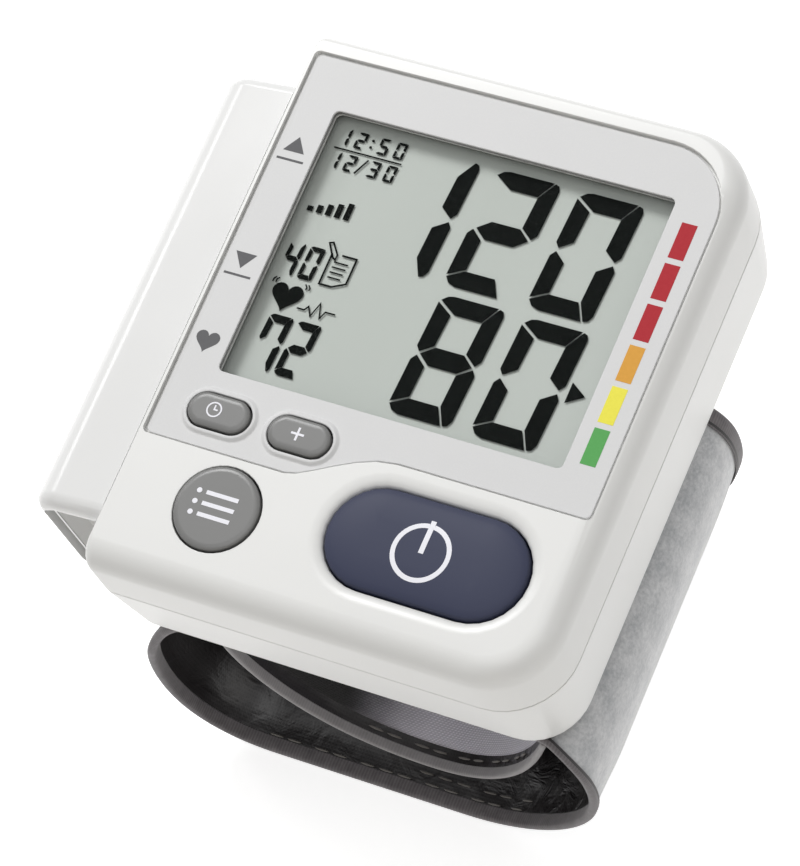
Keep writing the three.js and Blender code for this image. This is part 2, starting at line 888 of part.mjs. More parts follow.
// Main board and what is soldered to it
const boardNear = housingNear + wall + boardNearGap;
const boardBox = {
  left: cavityLeft + fitGap,
  right: housingRight - wall - boardEdgeGap,
  near: boardNear,
  far: screwPlaces[2][1] - screwTubeRadius - fitGap,
};
const boardShape = new THREE.Shape(
  roundedOutline(boardBox, [rimFillet, boardCorner, boardCorner, rimFillet]),
);
piece('main_board', plate(boardShape, boardLow, boardTop), '#2f6b45', 0.55);
const chipLow = boardTop + seatGap;
const chipHalf = chipSide / 2;
const chip = block(-chipHalf, chipHalf, -chipHalf, chipHalf, chipLow, chipLow + chipThickness);
piece('controller_chip', chip, '#26272a', 0.5);
const buzzerX = cavityLeft + buzzerRadius + 4 * postRadius;
const buzzerTop = boardLow - seatGap;
piece('buzzer', post(buzzerX, 0, buzzerRadius, buzzerTop - buzzerThickness, buzzerTop), '#2a2a2c', 0.45);

// Button caps: a flange under the shell, a straight skirt and a softly crowned top
function crownRises(crown, spread) {
  const steps = [];
  for (let step = 0; step <= crownSteps; step += 1) {
    const angle = (Math.PI / 2) * (step / crownSteps);
    steps.push({
      inset: spread * (1 - Math.cos(angle)),
      drop: crown * (1 - Math.sin(angle)),
    });
  }
  return steps;
}

function stadiumCap(x, y, length, height, flange, rise, crown, spread) {
  const skirt = loft([
    { z: flangeTop - flangeThickness / 2, points: stadiumPoints(x, y, length, height) },
    ...crownRises(crown, spread).map(({ inset, drop }) => ({
      z: rise - drop,
      points: stadiumPoints(x, y, length, height, -inset),
    })),
  ]);
  const base = plate(stadium(x, y, length, height, flange), flangeLow, flangeTop);
  return joined(solidOf(skirt), solidOf(base));
}

function roundCap(x, y, radius, flange, rise, crown, spread) {
  const profile = [
    new THREE.Vector2(0, flangeLow),
    new THREE.Vector2(radius + flange, flangeLow),
    new THREE.Vector2(radius + flange, flangeTop),
    new THREE.Vector2(radius, flangeTop),
    ...crownRises(crown, spread).map(({ inset, drop }) => new THREE.Vector2(radius - inset, rise - drop)),
    new THREE.Vector2(0, rise),
  ];
  return new THREE.LatheGeometry(profile, capSteps).rotateX(Math.PI / 2).translate(x, y, 0);
}

const powerCap = stadiumCap(
  powerX,
  powerY,
  powerLength,
  powerHeight,
  buttonFlange,
  powerRise,
  powerCrown,
  powerSpread,
);
piece('power_button', geometryOf(powerCap), darkNavy, 0.38);
const memoryCap = roundCap(
  memoryX,
  memoryY,
  memoryRadius,
  buttonFlange,
  memoryRise,
  smallCrown,
  smallSpread,
);
piece('memory_button', memoryCap, greyRubber, 0.5);
for (const [name, x] of smallPlaces) {
  const cap = stadiumCap(
    x,
    smallY,
    smallLength,
    smallHeight,
    smallFlange,
    smallRise,
    smallCrown,
    smallSpread,
  );
  piece(`${name}_button`, geometryOf(cap), greyRubber, 0.5);
}

// A push switch under each button: a square body with a well, and a plunger in it
const switchPlaces = [
  ['power', powerX, powerY, switchSide],
  ['memory', memoryX, memoryY, switchSide],
  ['clock', smallX, smallY, smallSwitchSide],
  ['plus', smallX + smallPitch, smallY, smallSwitchSide],
];
for (const [name, x, y, side] of switchPlaces) {
  const half = side / 2;
  const body = solidOf(block(x - half, x + half, y - half, y + half, boardTop + seatGap, switchTop));
  const wellLow = switchTop - plungerDepth - buttonTravel - seatGap;
  const well = solidOf(post(x, y, plungerRadius + seatGap, wellLow, switchTop + past, pinSteps));
  const plunger = post(x, y, plungerRadius, switchTop - plungerDepth, flangeLow - seatGap, pinSteps);
  piece(`${name}_switch`, geometryOf(body.subtract(well)), '#2d2e31', 0.5);
  piece(`${name}_plunger`, plunger, '#d9d5cc', 0.5);
}

// Two cells and their contacts
const cellPlaces = [
  ['battery_cell_upper', cellTopZ, 1],
  ['battery_cell_lower', cellLowZ, -1],
];
for (const [name, z, way] of cellPlaces) {
  const profile = [
    new THREE.Vector2(0, 0),
    new THREE.Vector2(cellRadius, 0),
    new THREE.Vector2(cellRadius, cellLength),
    new THREE.Vector2(cellNubRadius, cellLength),
    new THREE.Vector2(cellNubRadius, cellLength + cellNubLength),
    new THREE.Vector2(0, cellLength + cellNubLength),
  ];
  const cell = new THREE.LatheGeometry(profile, barrelSteps);
  const length = cellLength + cellNubLength;
  if (way < 0) {
    cell.rotateX(Math.PI).translate(0, length, 0);
  }
  piece(name, cell.translate(cellX, cellNear, z), '#4a6a8a', 0.35, 0.3);
}

const contactFar = cellFar + cellNubLength + seatGap;
piece('battery_link_contact', block(
  cellX - contactHalf,
  cellX + contactHalf,
  contactFar,
  contactFar + contactThickness,
  cellLowZ - contactHalf,
  cellTopZ + contactHalf,
), '#c9c9c4', 0.3, 0.9);

// A bent leaf: it lies on the end wall, turns back and bows out to the cell
function leafContact(z) {
  const base = bayNear + seatGap;
  const tip = cellNear - seatGap - contactThickness;
  const slope = (contactHalf - leafTip) / (tip - base);
  const shift = contactThickness * slope;
  const across = contactThickness * Math.hypot(1, slope);
  const points = [
    new THREE.Vector2(cellX - contactHalf, base),
    new THREE.Vector2(cellX + contactHalf, base),
    new THREE.Vector2(cellX + leafTip, tip),
    new THREE.Vector2(cellX - leafTip, tip),
    new THREE.Vector2(cellX - leafTip, tip - contactThickness),
    new THREE.Vector2(cellX + leafTip + shift - across, tip - contactThickness),
    new THREE.Vector2(cellX + contactHalf - shift - across, base + contactThickness),
    new THREE.Vector2(cellX - contactHalf, base + contactThickness),
  ];
  return plate(new THREE.Shape(points), z - contactHalf, z + contactHalf);
}

piece('battery_positive_contact', leafContact(cellLowZ), '#c9c9c4', 0.3, 0.9);
piece('battery_negative_contact', leafContact(cellTopZ), '#c9c9c4', 0.3, 0.9);

// Pump: a motor barrel behind a square head with an outlet spigot
const motor = barrel(pumpX, pumpZ, motorRadius, motorNear, motorNear + motorLength, barrelSteps);
piece('pump_motor', motor, '#b4b6b8', 0.3, 0.9);
const pumpHalf = pumpSide / 2;
const pumpBody = solidOf(block(
  pumpX - pumpHalf,
  pumpX + pumpHalf,
  pumpNear,
  pumpNear + pumpLength,
  pumpZ - pumpHalf,
  pumpZ + pumpHalf,
));
const pumpSpigotTip = pumpNear - spigotLength;
const pumpSpigot = solidOf(
  barrel(pumpX, pumpZ, spigotRadius, pumpSpigotTip, pumpNear + past, pinSteps),
);
piece('pump_head', geometryOf(pumpBody.add(pumpSpigot)), '#3a3b3e', 0.5);

// Manifold on the air nipple, with the pump's spigot, the valve's bore and the sensor's bore
const manifoldLow = floorTop + nippleFlangeThickness + seatGap * 2;
const sensorLow = boardLow - seatGap - sensorThickness;
const manifoldTop = sensorLow - seatGap;
const manifoldHalf = manifoldLength / 2;
const airZ = pumpZ;
const manifoldBody = solidOf(block(
  manifoldX - manifoldHalf,
  manifoldX + manifoldHalf,
  manifoldY - manifoldWidth / 2,
  manifoldY + manifoldWidth / 2,
  manifoldLow,
  manifoldTop,
));
const sideSpigot = new THREE.CylinderGeometry(spigotRadius, spigotRadius, spigotLength + past, pinSteps)
  .rotateZ(Math.PI / 2)
  .translate(manifoldX + manifoldHalf + (spigotLength - past) / 2, manifoldY, airZ);
const socketRadius = spigotRadius + fitGap;
const valveSocketEnd = valveNear - seatGap - spigotLength;
const manifold = cutBy(
  manifoldBody.add(solidOf(sideSpigot)),
  solidOf(barrel(manifoldX, valveZ, socketRadius, valveSocketEnd, valveNear + past, pinSteps)),
  solidOf(airPost(socketRadius, manifoldTop - spigotLength, manifoldTop + past)),
  solidOf(airPost(spigotRadius, manifoldLow - past, manifoldLow + spigotLength)),
);
piece('air_manifold', geometryOf(manifold), '#d6d4cd', 0.5);

const valveFar = valveNear + valveLength;
const valveBody = solidOf(barrel(manifoldX, valveZ, valveRadius, valveNear, valveFar, barrelSteps));
const valveTip = valveNear - spigotLength + seatGap;
const valveNose = solidOf(barrel(manifoldX, valveZ, spigotRadius, valveTip, valveNear + past, pinSteps));
piece('exhaust_valve', geometryOf(valveBody.add(valveNose)), '#8f9296', 0.35, 0.8);

const sensorHalf = sensorSide / 2;
const sensorBody = solidOf(block(
  manifoldX - sensorHalf,
  manifoldX + sensorHalf,
  manifoldY - sensorHalf,
  manifoldY + sensorHalf,
  sensorLow,
  boardLow - seatGap,
));
const sensorTip = sensorLow - spigotLength + seatGap * 2;
const sensorPort = solidOf(airPost(spigotRadius, sensorTip, sensorLow + past));
piece('pressure_sensor', geometryOf(sensorBody.add(sensorPort)), '#202124', 0.5);

const nippleProfile = [
  new THREE.Vector2(spigotRadius, strapTop - strapThickness),
  new THREE.Vector2(nippleRadius, strapTop - strapThickness),
  new THREE.Vector2(nippleRadius, floorTop + seatGap),
  new THREE.Vector2(nippleFlange, floorTop + seatGap),
  new THREE.Vector2(nippleFlange, floorTop + seatGap + nippleFlangeThickness),
  new THREE.Vector2(spigotRadius, floorTop + seatGap + nippleFlangeThickness),
  new THREE.Vector2(spigotRadius, strapTop - strapThickness),
];
const nipple = new THREE.LatheGeometry(nippleProfile, roundSteps).rotateX(Math.PI / 2);
piece('air_nipple', nipple.translate(manifoldX, manifoldY, 0), '#d6d4cd', 0.5);

// Soft tube from the pump's spigot round a quarter turn to the manifold's spigot
const bendRadius = 2 * tubeRadius;
const tubeStart = new THREE.Vector3(pumpX, pumpNear - seatGap, pumpZ);
const tubeEnd = new THREE.Vector3(manifoldX + manifoldHalf + seatGap, manifoldY, airZ);
const tubePath = new THREE.CurvePath();
tubePath.add(new THREE.LineCurve3(tubeStart, new THREE.Vector3(pumpX, manifoldY + bendRadius, airZ)));
tubePath.add(new THREE.QuadraticBezierCurve3(
  new THREE.Vector3(pumpX, manifoldY + bendRadius, airZ),
  new THREE.Vector3(pumpX, manifoldY, airZ),
  new THREE.Vector3(pumpX - bendRadius, manifoldY, airZ),
));
tubePath.add(new THREE.LineCurve3(new THREE.Vector3(pumpX - bendRadius, manifoldY, airZ), tubeEnd));
const tubeSection = new THREE.Shape().absarc(0, 0, tubeRadius, 0, Math.PI * 2, false);
tubeSection.holes.push(new THREE.Path().absarc(0, 0, tubeBore, 0, Math.PI * 2, true));
const tube = new THREE.ExtrudeGeometry(tubeSection, {
  steps: tubeSteps,
  extrudePath: tubePath,
  curveSegments: tubeTurnSteps,
});
piece('pump_tube', tube, '#c8c6c0', 0.6);

// Screws from below
screwPlaces.forEach(([x, y], index) => {
  const seat = housingBottom + screwSeat - seatGap;
  const profile = [
    new THREE.Vector2(0, seat - screwHeadHeight),
    new THREE.Vector2(screwHeadRadius, seat - screwHeadHeight),
    new THREE.Vector2(screwHeadRadius, seat),
    new THREE.Vector2(screwRadius, seat),
    new THREE.Vector2(screwRadius, screwBite - upperDepth),
    new THREE.Vector2(0, screwBite - upperDepth),
  ];
  const screw = new THREE.LatheGeometry(profile, pinSteps).rotateX(Math.PI / 2).translate(x, y, 0);
  piece(`housing_screw_${index + 1}`, screw, '#8a8c8f', 0.35, 0.9);
});

// Cuff: an outer loop of padded strap, flat where it stands, fuller on the battery side
function strapOutline() {
  const left = housingLeft - strapLeftReach;
  const right = housingRight - strapRightReach;
  const topLeft = housingLeft + strapTopInset;
  const topRight = housingRight - strapTopInset;
  const flatLeft = left + strapFlatLeft;
  const flatRight = right - strapFlatRight;
  const drop = strapTop - strapLow;
  const shape = new THREE.Shape();
  shape.moveTo(topRight, strapTop);
  shape.lineTo(topLeft, strapTop);
  shape.bezierCurveTo(
    (topLeft + 2 * left) / 3,
    strapTop,
    left,
    strapTop - drop * strapPulls.leftHigh,
    left,
    strapTop - drop * strapPulls.leftMiddle,
  );
  shape.bezierCurveTo(
    left,
    strapTop - drop * strapPulls.leftLow,
    (2 * left + flatLeft) / 3,
    strapLow,
    flatLeft,
    strapLow,
  );
  shape.lineTo(flatRight, strapLow);
  shape.bezierCurveTo(
    (flatRight + right) / 2,
    strapLow,
    right,
    strapTop - drop * strapPulls.rightLow,
    right,
    strapTop - drop * strapPulls.rightHigh,
  );
  shape.bezierCurveTo(
    right,
    strapTop - drop * strapPulls.shoulder,
    (topRight + right) / 2,
    strapTop,
    topRight,
    strapTop,
  );
  return shape;
}

// Points moved square to a closed or open run of points by a distance
function offsetPoints(points, distance, closed) {
  const count = points.length;
  return points.map((point, index) => {
    const before = points[closed ? (index - 1 + count) % count : Math.max(index - 1, 0)];
    const after = points[closed ? (index + 1) % count : Math.min(index + 1, count - 1)];
    const along = after.clone().sub(before).normalize();
    return new THREE.Vector2(point.x - along.y * distance, point.y + along.x * distance);
  });
}

function dropRepeats(points) {
  const count = points.length;
  return points.filter((point, index) => point.distanceTo(points[(index + 1) % count]) > repeatGap);
}

// Padding across the cuff: thin in the sewn edges and swollen to its full thickness between them
function paddingAcross(near, far, edge, full) {
  const half = [
    { inset: 0, thickness: edge },
    { inset: seamInset, thickness: edge },
  ];
  for (let step = 1; step <= swellSteps; step += 1) {
    const share = step / swellSteps;
    half.push({
      inset: seamInset + swellWidth * share,
      thickness: edge + (full - edge) * Math.sin((Math.PI / 2) * share),
    });
  }
  const farSide = half.map(({ inset, thickness }) => ({ y: far - inset, thickness }));
  const nearSide = half.map(({ inset, thickness }) => ({ y: near + inset, thickness }));
  return [...farSide, ...nearSide.reverse()];
}

// What the strap's near edge leaves free where it draws back under the housing, up to the right bend
function strapDrawnBack(outline) {
  const { min, max } = new THREE.Box2().setFromPoints(outline);
  const near = cuffNear - past;
  const ringAt = (z, far) => ({
    z,
    points: [
      new THREE.Vector2(min.x - past, near),
      new THREE.Vector2(max.x + past, near),
      new THREE.Vector2(max.x + past, cuffNear),
      new THREE.Vector2(housingRight - strapTopInset, far),
      new THREE.Vector2(min.x - past, far),
    ],
  });
  return loft([
    ringAt(strapTop - strapSetbackDrop, cuffNear),
    ringAt(strapTop, cuffNear + strapSetback),
    ringAt(strapTop + past, cuffNear + strapSetback),
  ]);
}

function cuffStrap() {
  const outline = dropRepeats(strapOutline().getPoints(cuffSteps));
  const loop = solidOf(alongY(new THREE.Shape(outline), cuffNear, cuffFar));
  const padding = paddingAcross(cuffNear - past, cuffFar + past, strapEdge, strapThickness);
  const hollow = solidOf(loftAlongY(padding.map(({ y, thickness }) => ({
    y,
    points: offsetPoints(outline, thickness, true),
  }))));
  const holes = pegPlaces.map(([x, y]) => solidOf(
    post(x, y, pegRadius + fitGap, strapTop - strapThickness - past, strapTop + past, pinSteps),
  ));
  const airHole = airPost(nippleRadius + fitGap, strapTop - strapThickness - past, strapTop + past);
  return cutBy(loop, hollow, solidOf(strapDrawnBack(outline)), ...holes, solidOf(airHole));
}

piece('cuff_strap', geometryOf(cuffStrap()), '#b9bdc4', 0.9);

// Bladder sleeve: hangs inside the loop from the clamp plate's two ends
function cuffSleeve() {
  const top = clampLow - fitGap;
  const left = housingLeft + clampInset + sleeveEndInset;
  const right = housingRight - clampInset - sleeveEndInset;
  const middle = (left + right) / 2;
  const low = strapLow + strapThickness + sleeveRise;
  const between = THREE.MathUtils.lerp;
  const curve = new THREE.Path();
  curve.moveTo(left, top);
  curve.bezierCurveTo(
    between(left, middle, sleevePulls.leftHigh),
    top - sleeveFall,
    between(left, middle, sleevePulls.leftLow),
    low,
    middle,
    low,
  );
  curve.bezierCurveTo(
    between(middle, right, sleevePulls.rightLow),
    low,
    between(middle, right, sleevePulls.rightHigh),
    top - sleeveFall,
    right,
    top,
  );
  const outer = curve.getPoints(sleeveSteps);
  const sectionOf = (thickness) => {
    const inner = offsetPoints(outer, thickness, false);
    inner[0].set(left + thickness, top);
    inner[inner.length - 1].set(right - thickness, top);
    return [...outer, ...inner.reverse()];
  };
  const near = cuffNear + sleeveInset;
  const far = cuffFar - sleeveInset;
  const padding = paddingAcross(near, far, sleeveEdge, sleeveThickness);
  return loftAlongY(padding.map(({ y, thickness }) => ({ y, points: sectionOf(thickness) })));
}

piece('cuff_sleeve', cuffSleeve(), '#2c2a2d', 0.85);

// Clamp plate: a white plate inside the loop whose pegs go up through the strap into the floor
function clampPlate() {
  const outline = rectangle({
    left: housingLeft + clampInset,
    right: housingRight - clampInset,
    near: cuffNear + clampMargin,
    far: cuffFar - clampMargin,
  }, clampCorner);
  const pegs = pegPlaces.map(([x, y]) => solidOf(
    post(x, y, pegRadius, clampTop - clampThickness / 2, floorTop, pinSteps),
  ));
  return joined(solidOf(plate(outline, clampLow, clampTop)), ...pegs);
}

piece('cuff_clamp_plate', geometryOf(clampPlate()), whiteAbs, 0.4);

// Stand the object on its cuff, centred on its own footprint
standing.position.set(
  -(coverOuter + housingRight) / 2,
  -(housingNear + housingFar) / 2,
  -strapLow,
);

export default model;
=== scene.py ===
# A wrist blood pressure monitor: a white moulded housing with a large display,
# four press buttons and a snap-off battery cover, on a padded cuff that wraps the wrist.
import json
import math

import bmesh
import bpy
from mathutils import Matrix, Quaternion, Vector, geometry, noise
from mathutils.bvhtree import BVHTree

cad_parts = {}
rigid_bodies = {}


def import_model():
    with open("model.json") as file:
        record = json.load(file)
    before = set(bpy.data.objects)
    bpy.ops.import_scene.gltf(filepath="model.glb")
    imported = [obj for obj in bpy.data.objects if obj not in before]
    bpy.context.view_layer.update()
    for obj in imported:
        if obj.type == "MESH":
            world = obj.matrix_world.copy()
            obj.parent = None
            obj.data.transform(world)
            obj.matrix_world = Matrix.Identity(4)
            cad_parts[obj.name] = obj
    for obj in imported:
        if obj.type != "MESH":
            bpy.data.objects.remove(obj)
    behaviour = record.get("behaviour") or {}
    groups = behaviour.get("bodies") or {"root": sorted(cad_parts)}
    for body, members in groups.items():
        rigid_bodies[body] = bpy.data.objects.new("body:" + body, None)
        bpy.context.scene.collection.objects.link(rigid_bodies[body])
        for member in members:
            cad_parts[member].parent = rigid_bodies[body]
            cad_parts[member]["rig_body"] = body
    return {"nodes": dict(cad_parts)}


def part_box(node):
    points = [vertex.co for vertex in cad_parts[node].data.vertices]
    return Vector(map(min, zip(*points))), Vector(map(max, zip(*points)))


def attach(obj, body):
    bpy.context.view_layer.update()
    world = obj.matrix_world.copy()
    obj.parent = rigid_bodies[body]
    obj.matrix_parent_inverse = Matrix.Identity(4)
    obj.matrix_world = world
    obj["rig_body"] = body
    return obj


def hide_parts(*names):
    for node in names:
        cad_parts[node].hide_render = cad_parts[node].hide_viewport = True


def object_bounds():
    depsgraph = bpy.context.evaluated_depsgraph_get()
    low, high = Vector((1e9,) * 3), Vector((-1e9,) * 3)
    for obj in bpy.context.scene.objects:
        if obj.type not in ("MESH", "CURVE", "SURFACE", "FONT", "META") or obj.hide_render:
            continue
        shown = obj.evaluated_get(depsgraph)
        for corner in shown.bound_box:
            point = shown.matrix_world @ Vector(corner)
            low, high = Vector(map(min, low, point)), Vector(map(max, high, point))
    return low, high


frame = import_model()
cad_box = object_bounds()


# Studio: the monitor stands on its cuff on a white table under a small soft box, up to the left and
# behind it, with a large one overhead, warm fills from the right and front and a low one at the left.
mm = 0.001
camera_aim = Vector((6.81, -10.66, 64.67)) * mm
camera_azimuth = math.radians(-37.67)
camera_elevation = math.radians(60.66)
camera_roll = math.radians(-32.25)
camera_distance = 0.57
toward_camera = Vector((
    math.cos(camera_elevation) * math.cos(camera_azimuth),
    math.cos(camera_elevation) * math.sin(camera_azimuth),
    math.sin(camera_elevation),
))
camera = bpy.data.objects.new("camera", bpy.data.cameras.new("camera"))
camera.data.lens = 192.2
camera.data.sensor_width = 36.0
camera.location = camera_aim + toward_camera * camera_distance
level_turn = toward_camera.to_track_quat("Z", "Y")
camera.rotation_euler = (level_turn @ Quaternion((0, 0, 1), camera_roll)).to_euler()
bpy.context.collection.objects.link(camera)
bpy.context.scene.camera = camera
bpy.context.scene.view_settings.view_transform = "Standard"


def soft_box(name, place, size, watts, tint=(1.0, 1.0, 1.0)):
    """A square lamp that faces the middle of the object."""
    lamp = bpy.data.lights.new(name, "AREA")
    lamp.size = size
    lamp.energy = watts
    lamp.color = tint
    stand = bpy.data.objects.new(name, lamp)
    stand.location = place
    stand.rotation_euler = (Vector(place) - camera_aim).to_track_quat("Z", "Y").to_euler()
    bpy.context.collection.objects.link(stand)


soft_box("key_box", (-0.46, 0.50, 0.73), 0.32, 5.0)
soft_box("top_box", (0.10, -0.05, 1.05), 0.80, 2.9)
soft_box("fill_box", (0.86, -0.30, 0.34), 0.70, 0.50, (1.0, 0.94, 0.86))
soft_box("front_box", (0.20, -0.85, 0.30), 0.60, 0.52, (1.0, 0.87, 0.68))
soft_box("low_box", (-0.74, 0.27, 0.49), 0.18, 0.6)


def set_up(tree, node, settings, links):
    """Sets a node's sockets or properties by name, and links its sockets: each from one output, or
    from a whole node, which stands for the first output that it has in use."""
    for name, value in settings.items():
        if isinstance(name, int) or name in node.inputs:
            node.inputs[name].default_value = value
        else:
            setattr(node, name, value)
    for name, source in links.items():
        if isinstance(source, bpy.types.Node):
            source = next(output for output in source.outputs if output.enabled)
        tree.links.new(source, node.inputs[name])
    return node


def add_node(tree, kind, settings=None, links=None):
    """Adds a shader node with its settings and links."""
    return set_up(tree, tree.nodes.new("ShaderNode" + kind), settings or {}, links or {})


def seen_directly(tree):
    """One for rays from the eye, a mirror or a pane, and nothing for the light that they carry."""
    path = add_node(tree, "LightPath").outputs
    mirror = add_node(tree, "Math", {"operation": "MAXIMUM"},
                      {0: path["Is Camera Ray"], 1: path["Is Glossy Ray"]})
    return add_node(tree, "Math", {"operation": "MAXIMUM"}, {0: mirror, 1: path["Is Transmission Ray"]})


room = bpy.data.worlds.new("white_room")
room.use_nodes = True
room_light = 0.29
bpy.context.scene.world = room
room_strength = add_node(room.node_tree, "MapRange", {"To Min": room_light, "To Max": 1.0},
                         {"Value": seen_directly(room.node_tree)})
set_up(room.node_tree, room.node_tree.nodes["Background"], {"Color": (1.0, 1.0, 1.0, 1.0)},
       {"Strength": room_strength})

table_size = 6.0
table_glow = 0.62
table_bounce = 0.33
table_white = 0.82
table_mesh = bmesh.new()
bmesh.ops.create_grid(table_mesh, x_segments=1, y_segments=1, size=table_size / 2)
table = bpy.data.objects.new("table", bpy.data.meshes.new("table"))
table_mesh.to_mesh(table.data)
bpy.context.collection.objects.link(table)
table_paint = bpy.data.materials.new("white_table")
table_paint.use_nodes = True
table_tree = table_paint.node_tree
table_light = add_node(table_tree, "MapRange", {"To Min": table_bounce, "To Max": table_glow},
                       {"Value": seen_directly(table_tree)})
set_up(table_tree, table_tree.nodes["Principled BSDF"],
       {"Base Color": (table_white, table_white, table_white, 1.0), "Roughness": 0.9,
        "Emission Color": (1.0, 1.0, 1.0, 1.0)},
       {"Emission Strength": table_light})
table.data.materials.append(table_paint)


# Lower shell: the deep half of the housing, injection moulded in warm white ABS.
# It sits on the cuff, and four screws pull the upper shell down onto its rim.
def linear(code):
    """A colour written as sRGB hex, such as 'e6e4de', in the linear values that shaders take."""
    shares = [int(code[i:i + 2], 16) / 255 for i in (0, 2, 4)]
    return [s / 12.92 if s <= 0.04045 else ((s + 0.055) / 1.055) ** 2.4 for s in shares] + [1.0]


def per(size):
    """The texture scale at which a pattern repeats every so many millimetres."""
    return 1.0 / (size * mm)


def per_band(size):
    """The wave texture's scale at which its bands repeat every so many millimetres."""
    return per(size) * math.pi / 10


def new_finish(name, follows="Object"):
    """An empty material with its node tree, its shader and the coordinates that its pattern follows."""
    material = bpy.data.materials.new(name)
    material.use_nodes = True
    tree = material.node_tree
    coordinates = add_node(tree, "TexCoord").outputs[follows]
    return material, tree, tree.nodes["Principled BSDF"], coordinates


def moulded_plastic(name, shade, roughness, peel_size=0.5, gloss=0.5):
    """Injection-moulded plastic: an even colour that drifts a little with the flow of the melt,
    and a faint orange peel from the tool, which softens every highlight."""
    flow_size = 14.0
    peel_depth = 0.004 * mm
    material, tree, shader, place = new_finish(name)
    flow = add_node(tree, "TexNoise", {"Scale": per(flow_size), "Detail": 3.0}, {"Vector": place})
    peel = add_node(tree, "TexNoise", {"Scale": per(peel_size), "Detail": 2.0}, {"Vector": place})
    colour = linear(shade)
    shaded = [c * 0.985 for c in colour[:3]] + [1.0]
    tint = add_node(tree, "Mix", {"data_type": "RGBA", 6: shaded, 7: colour}, {0: flow})
    rough = add_node(tree, "MapRange", {"To Min": roughness - 0.05, "To Max": roughness + 0.05},
                     {"Value": flow})
    bump = add_node(tree, "Bump", {"Strength": 0.35, "Distance": peel_depth}, {"Height": peel})
    set_up(tree, shader, {"IOR": 1.53, "Specular IOR Level": gloss},
           {"Base Color": tint, "Roughness": rough, "Normal": bump})
    return material


def finished_piece(name, mesh, finish, body, node=None, smooth_under=35):
    """Turns a bmesh into an object of one finish that rides on a body of the frame,
    in the place of a node's solid where one is named."""
    piece = bpy.data.objects.new(name, bpy.data.meshes.new(name))
    mesh.to_mesh(piece.data)
    mesh.free()
    piece.data.shade_smooth()
    piece.data.set_sharp_from_angle(angle=math.radians(smooth_under))
    piece.data.materials.append(finish)
    bpy.context.collection.objects.link(piece)
    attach(piece, body)
    if node:
        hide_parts(node)
    return piece


def face_width(face):
    """A face's mean width across its longest edge."""
    return face.calc_area() / max(edge.calc_length() for edge in face.edges)


def moulded_copy(node, finish, edge=0.2, narrow=0.0, whole_faces=True):
    """The node's own solid with its flat facets merged and its sharp edges rounded as a tool leaves them.
    Edges beside faces under the narrow width, where a rounding would fold, stay sharp. A piece with
    many openings in its walls has its facets merged in pairs and not to whole faces."""
    same_point = 0.04 * mm
    flat = math.radians(0.5)
    corner = math.radians(28)
    mesh = bmesh.new()
    mesh.from_mesh(frame["nodes"][node].data)
    bmesh.ops.remove_doubles(mesh, verts=mesh.verts, dist=same_point)
    if whole_faces:
        bmesh.ops.dissolve_limit(mesh, angle_limit=flat, use_dissolve_boundaries=False,
                                 verts=mesh.verts, edges=mesh.edges)
    else:
        bmesh.ops.join_triangles(mesh, faces=mesh.faces, angle_face_threshold=flat,
                                 angle_shape_threshold=math.pi)
    sharp = [e for e in mesh.edges if e.is_manifold and e.calc_face_angle() > corner
             and all(face_width(f) >= narrow * mm for f in e.link_faces)]
    bmesh.ops.bevel(mesh, geom=sharp, offset=edge * mm, offset_type="OFFSET", segments=2,
                    profile=0.5, affect="EDGES", clamp_overlap=False, material=-1)
    piece = finished_piece(node + "_moulded", mesh, finish, frame["nodes"][node]["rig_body"], node)
    flat_faces = piece.modifiers.new("flat_faces", "WEIGHTED_NORMAL")
    flat_faces.keep_sharp = True
    flat_faces.weight = 100


white_abs = moulded_plastic("moulded_white_abs", "e4e4e2", 0.33)
moulded_copy("lower_shell", white_abs, whole_faces=False)


# Inner works: a green glass-fibre board with its chip, buzzer and dome switches, and the
# pump, valve and pressure sensor on one air manifold, all screwed or clipped to the lower shell.
def dress(nodes, finish):
    """Gives solids whose shape is already right their finish."""
    for node in nodes:
        frame["nodes"][node].data.materials.clear()
        frame["nodes"][node].data.materials.append(finish)


def drawn_metal(name, shade, roughness, grain_size):
    """Sheet or wire drawn through a die: bright metal with fine lines along the drawing direction."""
    material, tree, shader, place = new_finish(name)
    lines = add_node(tree, "Mapping", {"Scale": (1.0, 0.05, 1.0)}, {"Vector": place})
    grain = add_node(tree, "TexNoise", {"Scale": per(grain_size), "Detail": 2.0}, {"Vector": lines})
    rough = add_node(tree, "MapRange", {"To Min": roughness - 0.06, "To Max": roughness + 0.1},
                     {"Value": grain})
    bump = add_node(tree, "Bump", {"Strength": 0.3, "Distance": 0.004 * mm}, {"Height": grain})
    set_up(tree, shader, {"Base Color": linear(shade), "Metallic": 1.0},
           {"Roughness": rough, "Normal": bump})
    return material


def soft_rubber(name, shade):
    """Moulded silicone rubber: matt, with a fine dusty mottle and a soft sheen at the edges."""
    material, tree, shader, place = new_finish(name)
    dust = add_node(tree, "TexNoise", {"Scale": per(0.8), "Detail": 4.0}, {"Vector": place})
    colour = linear(shade)
    dusty = [min(1.0, c * 1.12) for c in colour[:3]] + [1.0]
    tint = add_node(tree, "Mix", {"data_type": "RGBA", 6: colour, 7: dusty}, {0: dust})
    bump = add_node(tree, "Bump", {"Strength": 0.3, "Distance": 0.01 * mm}, {"Height": dust})
    set_up(tree, shader, {"Roughness": 0.72, "Sheen Weight": 0.15, "IOR": 1.41},
           {"Base Color": tint, "Normal": bump})
    return material


